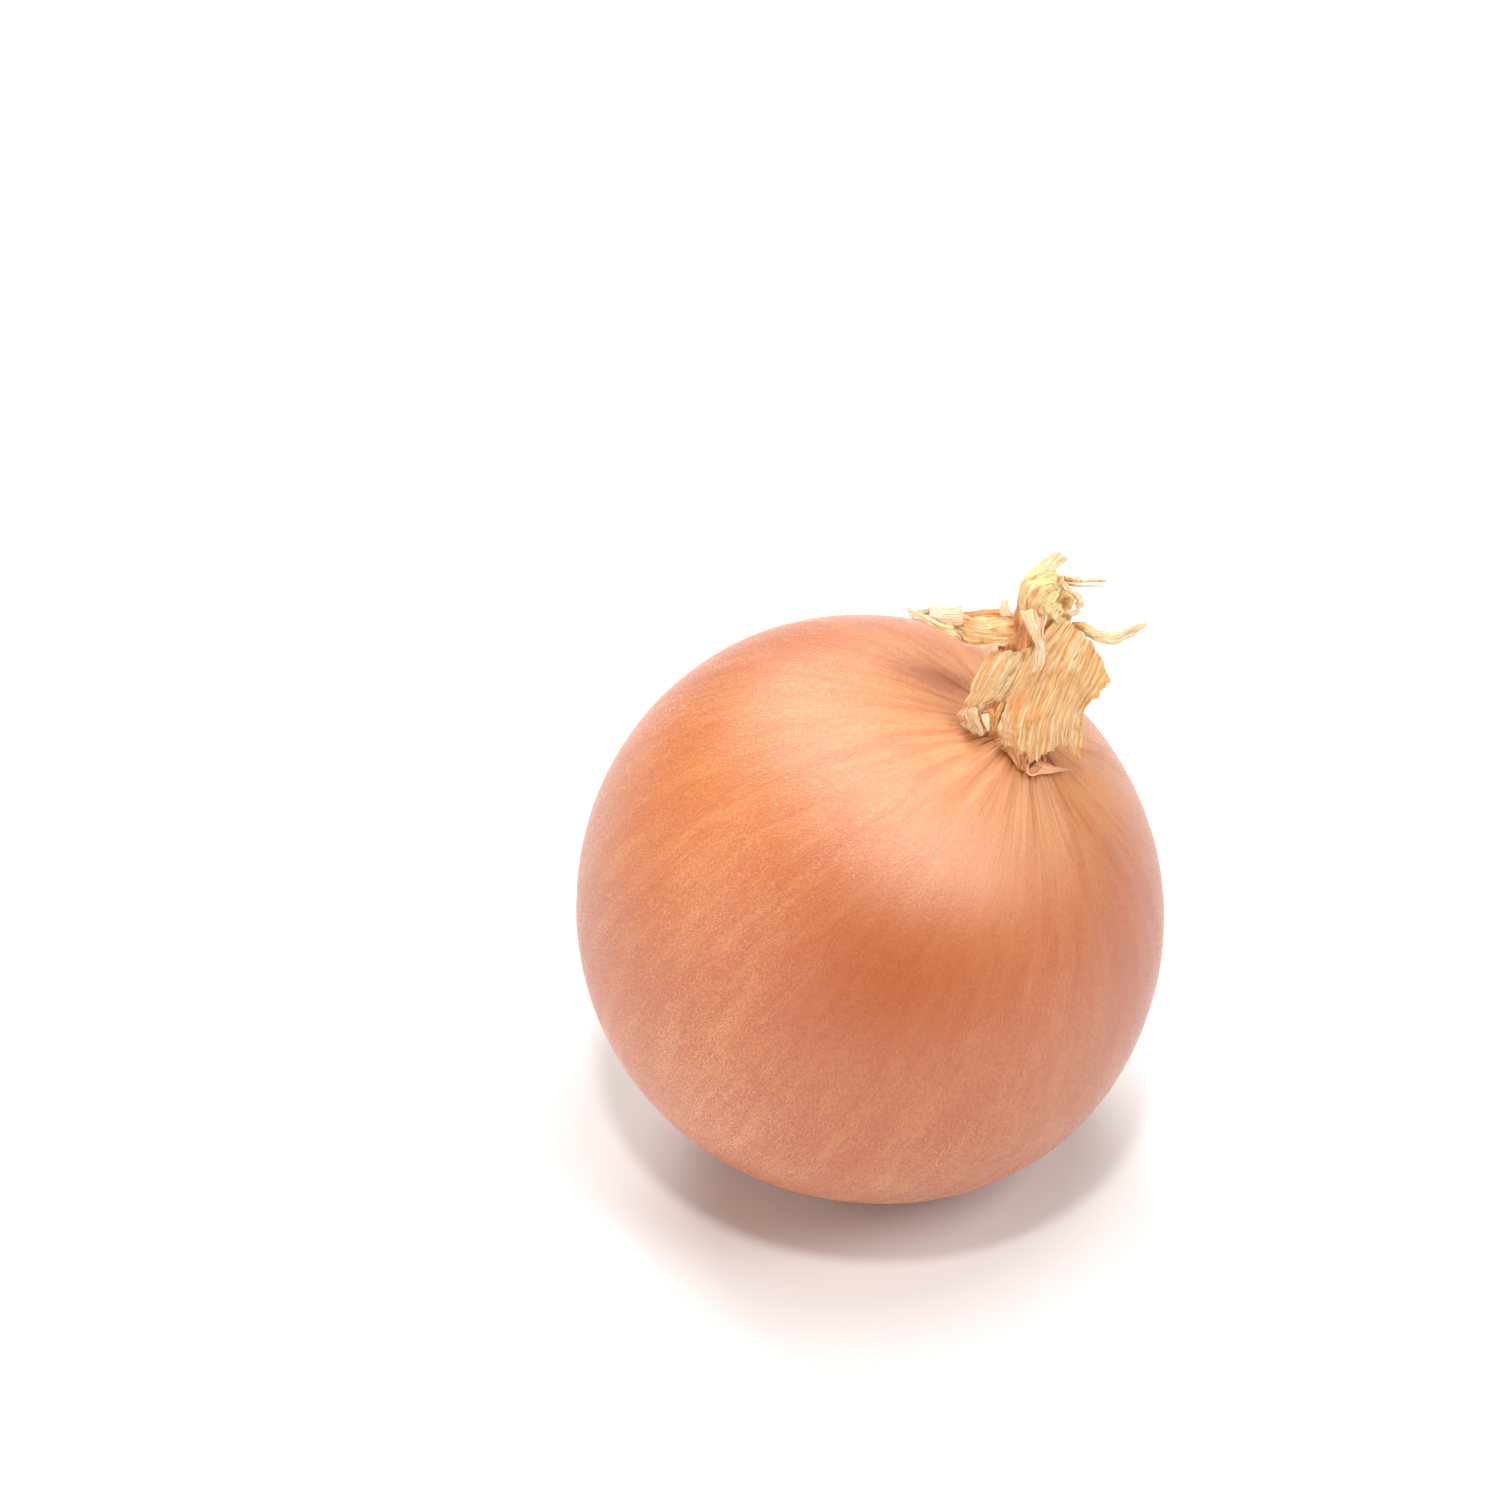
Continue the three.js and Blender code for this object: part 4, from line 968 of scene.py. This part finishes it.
class Nodes:
    """Adds nodes to a material, each with its settings and what its sockets hold or take."""

    def __init__(self, name):
        self.material = bpy.data.materials.new(name)
        self.material.use_nodes = True
        self.tree = self.material.node_tree
        self.tree.nodes.clear()

    def add(self, kind, inputs=None, **settings):
        node = self.tree.nodes.new(kind)
        for key, value in settings.items():
            setattr(node, key, value)
        for key, value in (inputs or {}).items():
            if isinstance(value, bpy.types.NodeSocket):
                self.tree.links.new(value, node.inputs[key])
            else:
                node.inputs[key].default_value = value
        return node

    def math(self, operation, first, second=0.0):
        return self.add("ShaderNodeMath", {0: first, 1: second}, operation=operation).outputs[0]

    def scaled(self, vector, factors):
        return self.add("ShaderNodeVectorMath", {0: vector, 1: factors}, operation="MULTIPLY").outputs[0]

    def shifted(self, vector, across, along=0.0):
        shift = self.add("ShaderNodeCombineXYZ", {0: across, 1: along, 2: 0.0}).outputs[0]
        return self.add("ShaderNodeVectorMath", {0: vector, 1: shift}, operation="ADD").outputs[0]

    def noise(self, vector, factors, detail=2.0, roughness=0.5):
        """Noise on a vector that is stretched by factors."""
        vector = self.scaled(vector, factors)
        inputs = {"Vector": vector, "Scale": 1.0, "Detail": detail, "Roughness": roughness}
        return self.add("ShaderNodeTexNoise", inputs).outputs["Fac"]

    def ramp(self, value, low, high, start=0.0, end=1.0):
        inputs = {"Value": value, "From Min": low, "From Max": high, "To Min": start, "To Max": end}
        return self.add("ShaderNodeMapRange", inputs, interpolation_type="SMOOTHSTEP").outputs[0]

    def near_middle(self, value, width):
        """1 where a noise crosses its middle, 0 from width on: thin winding lines."""
        return self.ramp(self.math("ABSOLUTE", self.math("SUBTRACT", value, 0.5)), 0.0, width, 1.0, 0.0)

    def blend(self, share, first, second):
        node = self.add("ShaderNodeMix", data_type="RGBA")
        for index, value in ((0, share), (6, first), (7, second)):
            if isinstance(value, bpy.types.NodeSocket):
                self.tree.links.new(value, node.inputs[index])
            else:
                node.inputs[index].default_value = value if index == 0 else (*value, 1.0)
        return node.outputs[2]

    def glazed(self, colour, layers):
        """A colour under thin layers: each a value, its low, high, start and end, and its own colour."""
        for value, low, high, start, end, tint in layers:
            colour = self.blend(self.ramp(value, low, high, start, end), colour, tint)
        return colour

    def attribute(self, name, output="Vector"):
        node = self.add("ShaderNodeAttribute", attribute_name=name, attribute_type="GEOMETRY")
        return node.outputs[output]

    def parts(self, vector):
        return self.add("ShaderNodeSeparateXYZ", {0: vector}).outputs

    def finish(self, colour, roughness, height, strength, distance, **sockets):
        """The material, with its relief as a height, a strength and a distance in metres."""
        bump = self.add("ShaderNodeBump", {"Height": height, "Strength": strength, "Distance": distance})
        inputs = {"Base Color": colour, "Roughness": roughness, "Normal": bump.outputs[0], **sockets}
        shader = self.add("ShaderNodeBsdfPrincipled", inputs)
        self.add("ShaderNodeOutputMaterial", {"Surface": shader.outputs[0]})
        return self.material


def under_skin(weight, radius, scale):
    """Sockets for light that spreads below a surface."""
    return {"Subsurface Weight": weight, "Subsurface Radius": radius, "Subsurface Scale": scale}


COPPER_DARK = (0.40, 0.078, 0.009)
COPPER = (0.57, 0.128, 0.015)
SALMON = (0.64, 0.19, 0.043)
PINK = (0.61, 0.19, 0.062)
PALE_SALMON = (0.74, 0.29, 0.105)
GRAIN_LIGHT = (0.76, 0.33, 0.15)
CREAM = (0.88, 0.46, 0.10)
VEIN = (0.36, 0.13, 0.05)
GATHER_SHADE = (0.20, 0.06, 0.02)
DEEP_ORANGE = (0.54, 0.105, 0.018)


def skin_material():
    """Satin skin, with streaks, threads and grain that run from the neck to the root."""
    n = Nodes("onion_skin")
    flow = n.attribute("flow")
    angle = n.parts(flow)[2]
    drift = n.math("MULTIPLY", n.math("SUBTRACT", n.noise(flow, (6.0, 6.0, 3.5)), 0.5), 0.05)
    wavy = n.shifted(flow, drift, drift)
    broad = n.noise(flow, (1.6, 1.6, 1.3))
    streak = n.noise(wavy, (15.0, 15.0, 1.0), detail=4.0, roughness=0.62)
    thread = n.noise(wavy, (62.0, 62.0, 3.0), detail=3.0, roughness=0.6)
    pale = n.noise(wavy, (38.0, 38.0, 0.7), detail=3.0, roughness=0.6)
    grain = n.noise(wavy, (190.0, 190.0, 95.0), detail=3.0, roughness=0.65)
    mottle = n.noise(wavy, (13.0, 13.0, 3.4), detail=3.0, roughness=0.6)
    veins = n.near_middle(n.noise(wavy, (30.0, 30.0, 0.9)), 0.030)

    colour = n.blend(n.ramp(broad, 0.35, 0.65), COPPER, SALMON)
    colour = n.glazed(colour, [
        (angle, 1.2, 2.6, 0.0, 0.6, PINK),
        (streak, 0.3, 0.5, 0.28, 0.0, COPPER_DARK),
        (streak, 0.55, 0.75, 0.0, 0.45, PALE_SALMON),
    ])
    near_neck = n.ramp(angle, 0.24, 0.82, 1.0, 0.0)
    colour = n.blend(n.math("MULTIPLY", near_neck, n.ramp(streak, 0.3, 0.65, 0.35, 0.8)), colour, CREAM)
    colour = n.glazed(colour, [
        (thread, 0.52, 0.34, 0.0, 0.45, COPPER_DARK),
        (thread, 0.56, 0.72, 0.0, 0.3, GRAIN_LIGHT),
        (pale, 0.62, 0.76, 0.0, 0.35, GRAIN_LIGHT),
        (mottle, 0.50, 0.64, 0.0, 0.65, DEEP_ORANGE),
        (mottle, 0.48, 0.36, 0.0, 0.45, PALE_SALMON),
    ])
    colour = n.blend(n.math("MULTIPLY", veins, n.ramp(angle, 0.12, 0.9, 0.4, 0.05)), colour, VEIN)
    colour = n.glazed(colour, [
        (grain, 0.52, 0.40, 0.0, 0.7, COPPER_DARK),
        (grain, 0.52, 0.64, 0.0, 0.6, GRAIN_LIGHT),
    ])
    # Painted highlights: a paler salmon at the bright places of the sheen listed at the top
    colour = n.blend(n.attribute("pale", "Fac"), colour, PALE_SALMON)
    # Painted shade: a deeper copper at the shaded places listed at the top
    colour = n.blend(n.attribute("painted_shade", "Fac"), colour, COPPER_DARK)
    # Painted shade along the bottoms of the gathers
    colour = n.blend(n.math("MULTIPLY", n.attribute("gather_shade", "Fac"), 0.7), colour, GATHER_SHADE)

    height = n.math("ADD", n.math("MULTIPLY", grain, 0.8), n.math("MULTIPLY", thread, 0.5))
    return n.finish(colour, n.ramp(grain, 0.3, 0.7, 0.35, 0.22), height, 0.5, 0.0002, **{
        **under_skin(0.1, (1.0, 0.35, 0.15), 0.001), "Specular IOR Level": 1.0})


STRAW = (0.94, 0.58, 0.27)
STRAW_PALE = (0.98, 0.75, 0.44)
STRAW_WHITE = (0.98, 0.78, 0.60)
STRAW_ORANGE = (0.84, 0.30, 0.075)
FLECK = (0.12, 0.09, 0.05)
CREVICE = (0.52, 0.17, 0.035)
LEMON = (0.90, 0.72, 0.30)
OLIVE = (0.70, 0.52, 0.18)


def straw_material():
    """Dry fibrous leaf. Its pieces carry their fibres' direction and shares of orange, dark and white; the
    dark share carries painted shade in grooves and the crown's hollow, and darker marks such as a net of
    cracks on the front sheath.
    """
    n = Nodes("dry_leaf")
    fibre = n.attribute("fibre")
    tone = n.parts(n.attribute("tone"))
    crown = n.parts(n.attribute("crown"))
    bend = n.math("MULTIPLY", n.math("SUBTRACT", n.noise(fibre, (0.5, 0.35, 1.0), detail=1.0), 0.5), 0.45)
    wavy = n.shifted(fibre, bend)
    stripe = n.noise(wavy, (2.2, 0.13, 1.0), detail=3.0, roughness=0.6)
    fine = n.noise(wavy, (6.5, 0.40, 1.0), detail=3.0, roughness=0.65)
    crack = n.near_middle(n.noise(wavy, (2.7, 0.13, 1.0)), 0.05)
    broken = n.noise(wavy, (1.4, 0.5, 1.0))
    flecks = n.noise(wavy, (8.0, 4.0, 1.0), detail=1.0)

    colour = n.blend(n.ramp(stripe, 0.35, 0.65), STRAW, STRAW_PALE)
    orange = n.math("MULTIPLY", tone[0], n.ramp(stripe, 0.65, 0.35, 0.15, 1.0))
    fine_orange = n.math("MULTIPLY", n.ramp(fine, 0.55, 0.35), n.math("MULTIPLY", tone[0], 0.6))
    colour = n.blend(n.math("ADD", orange, fine_orange), colour, STRAW_ORANGE)
    colour = n.glazed(colour, [
        (fine, 0.52, 0.36, 0.0, 0.75, STRAW_ORANGE),
        # Painted shade: the dark share turns the colour orange
        (tone[1], 0.05, 0.4, 0.0, 0.6, STRAW_ORANGE),
    ])
    colour = n.blend(tone[2], colour, STRAW_WHITE)
    colour = n.blend(n.math("MULTIPLY", crown[0], 0.5), colour, LEMON)
    # Painted shade: olive down in the crown's hollow
    colour = n.blend(n.math("MULTIPLY", crown[1], 0.6), colour, OLIVE)
    split = n.math("MULTIPLY", crack, n.ramp(broken, 0.42, 0.58, 0.0, 0.7))
    colour = n.blend(split, colour, CREVICE)
    colour = n.glazed(colour, [
        # Painted shade: the dark share deepens to crevice brown in grooves and hollows
        (tone[1], 0.25, 1.0, 0.0, 1.0, CREVICE),
        (flecks, 0.76, 0.80, 0.0, 0.6, FLECK),
    ])

    height = n.math("ADD", n.math("MULTIPLY", fine, 0.8), n.math("MULTIPLY", stripe, 0.6))
    height = n.math("SUBTRACT", height, n.math("MULTIPLY", split, 0.3))
    return n.finish(colour, n.ramp(fine, 0.3, 0.7, 0.75, 0.55), height, 0.7, 0.0005, **{
        **under_skin(0.45, (1.0, 0.6, 0.25), 0.0012), "Specular IOR Level": 0.35})


ROOT_BROWN = (0.42, 0.26, 0.14)
ROOT_PALE = (0.74, 0.55, 0.36)
ROOT_DARK = (0.24, 0.14, 0.07)


def root_material():
    n = Nodes("roots")
    fibre = n.attribute("fibre")
    patches = n.noise(fibre, (1.5, 1.5, 1.5), detail=4.0)
    fine = n.noise(fibre, (9.0, 9.0, 9.0), detail=3.0)
    colour = n.blend(n.ramp(patches, 0.35, 0.65), ROOT_BROWN, ROOT_PALE)
    colour = n.blend(n.ramp(fine, 0.5, 0.3, 0.0, 0.5), colour, ROOT_DARK)
    return n.finish(colour, n.ramp(fine, 0.3, 0.7, 0.9, 0.7), fine, 0.6, 0.0003)


SCRAP_COPPER = (0.56, 0.17, 0.05)
SCRAP_PALE = (0.84, 0.40, 0.18)
SCRAP_INSIDE = (0.92, 0.55, 0.34)


def scrap_material():
    n = Nodes("torn_skin")
    stripe = n.noise(n.attribute("fibre"), (2.0, 0.4, 1.0), detail=4.0)
    colour = n.blend(n.ramp(stripe, 0.35, 0.65), SCRAP_COPPER, SCRAP_PALE)
    inside = n.math("MULTIPLY", n.parts(n.attribute("tone"))[0], 0.7)
    colour = n.blend(inside, colour, SCRAP_INSIDE)
    return n.finish(colour, n.ramp(stripe, 0.3, 0.7, 0.6, 0.45), stripe, 0.4, 0.0003,
                    **under_skin(0.15, (1.0, 0.35, 0.15), 0.0006))


# Camera, light and floor

# The photo's own view: a long lens, aimed so that the globe's centre falls on its pixel of the photo
CAMERA_ELEVATION = 38.0
CAMERA_DISTANCE = 532.0
CAMERA_LENS = 100.0
CAMERA_SENSOR = 36.0
PHOTO_SIZE = 1500
CENTRE_PIXEL = (871.0, 910.0)


def camera():
    data = bpy.data.cameras.new("photo_camera")
    data.lens = CAMERA_LENS
    data.sensor_width = CAMERA_SENSOR
    data.clip_start = 0.01
    seen = bpy.data.objects.new("photo_camera", data)
    bpy.context.scene.collection.objects.link(seen)
    tilt = math.radians(CAMERA_ELEVATION)
    up = np.array([0.0, math.sin(tilt), math.cos(tilt)])
    back = np.array([0.0, -math.cos(tilt), math.sin(tilt)])
    per_pixel = CAMERA_SENSOR / CAMERA_LENS / PHOTO_SIZE * CAMERA_DISTANCE
    across = (CENTRE_PIXEL[0] - PHOTO_SIZE / 2) * per_pixel
    above = (PHOTO_SIZE / 2 - CENTRE_PIXEL[1]) * per_pixel
    place = CENTRE - FACE_RIGHT * across - up * above + back * CAMERA_DISTANCE
    seen.location = (place * MM).tolist()
    seen.rotation_euler = (math.pi / 2 - tilt, 0.0, 0.0)
    bpy.context.scene.camera = seen


# Softboxes: name, direction from the onion, distance, width, height, power, colour
NEUTRAL = (1.0, 1.0, 1.0)
SLIGHTLY_WARM = (1.0, 0.95, 0.90)
SOFTBOXES = [
    ("key_softbox", (0.53, -0.36, 0.77), 2.25, 0.72, 0.9, 20.5, NEUTRAL),
    ("back_softbox", (-0.25, 0.63, 0.73), 2.4, 1.26, 0.96, 35.0, NEUTRAL),
    ("top_softbox", (0.12, 0.05, 0.99), 2.7, 1.08, 1.08, 25.5, NEUTRAL),
    ("left_softbox", (-0.75, -0.50, 0.30), 2.4, 3.0, 2.4, 30.0, SLIGHTLY_WARM),
    ("front_softbox", (-0.05, -0.37, 0.93), 2.4, 0.2, 0.2, 18.0, NEUTRAL),
]
AMBIENT_COLOUR = (1.0, 0.97, 0.94, 1.0)
AMBIENT_STRENGTH = 0.27


def softbox(name, direction, distance, width, height, power, colour):
    """A rectangular light that looks at the onion from a direction."""
    data = bpy.data.lights.new(name, "AREA")
    data.color = colour
    data.shape = "RECTANGLE"
    data.size = width
    data.size_y = height
    data.energy = power
    light = bpy.data.objects.new(name, data)
    bpy.context.scene.collection.objects.link(light)
    away = unit(np.array(direction)) * distance
    tip = math.atan2(math.hypot(away[0], away[1]), away[2])
    light.location = (away + CENTRE * MM).tolist()
    light.rotation_euler = (tip, 0.0, math.atan2(away[0], -away[1]))


def studio():
    for box in SOFTBOXES:
        softbox(*box)
    world = bpy.data.worlds.new("studio")
    world.use_nodes = True
    background = world.node_tree.nodes["Background"]
    background.inputs["Color"].default_value = AMBIENT_COLOUR
    background.inputs["Strength"].default_value = AMBIENT_STRENGTH
    bpy.context.scene.world = world
    bpy.context.scene.view_settings.view_transform = "Standard"


# Floor, in metres: half its width, and how far it lies below the onion
FLOOR_REACH = 3.0
FLOOR_DROP = 0.0002
FLOOR_GREY = (0.81, 0.81, 0.81)
FLOOR_WHITE = (0.83, 0.83, 0.83)


def floor():
    mesh = bpy.data.meshes.new("floor")
    sides = ((-1, -1), (1, -1), (1, 1), (-1, 1))
    corners = [(x * FLOOR_REACH, y * FLOOR_REACH, -FLOOR_DROP) for x, y in sides]
    mesh.from_pydata(corners, [], [(0, 1, 2, 3)])
    plane = bpy.data.objects.new("floor", mesh)
    bpy.context.scene.collection.objects.link(plane)
    n = Nodes("floor_white")
    soft = n.noise(n.add("ShaderNodeTexCoord").outputs["Object"], (3.0, 3.0, 3.0))
    colour = n.blend(n.ramp(soft, 0.3, 0.7), FLOOR_GREY, FLOOR_WHITE)
    mesh.materials.append(n.finish(colour, 0.8, soft, 0.02, 0.001))


def main():
    camera()
    studio()
    floor()
    skin = skin_material()
    straw = straw_material()
    bulb(skin)
    neck_stalk(straw)
    sheaths(straw)
    left_shreds(straw)
    crown_leaves(straw)
    collar_leaves(straw)
    skin_scraps(scrap_material())
    bristles(straw)
    root_tuft(root_material())


main()
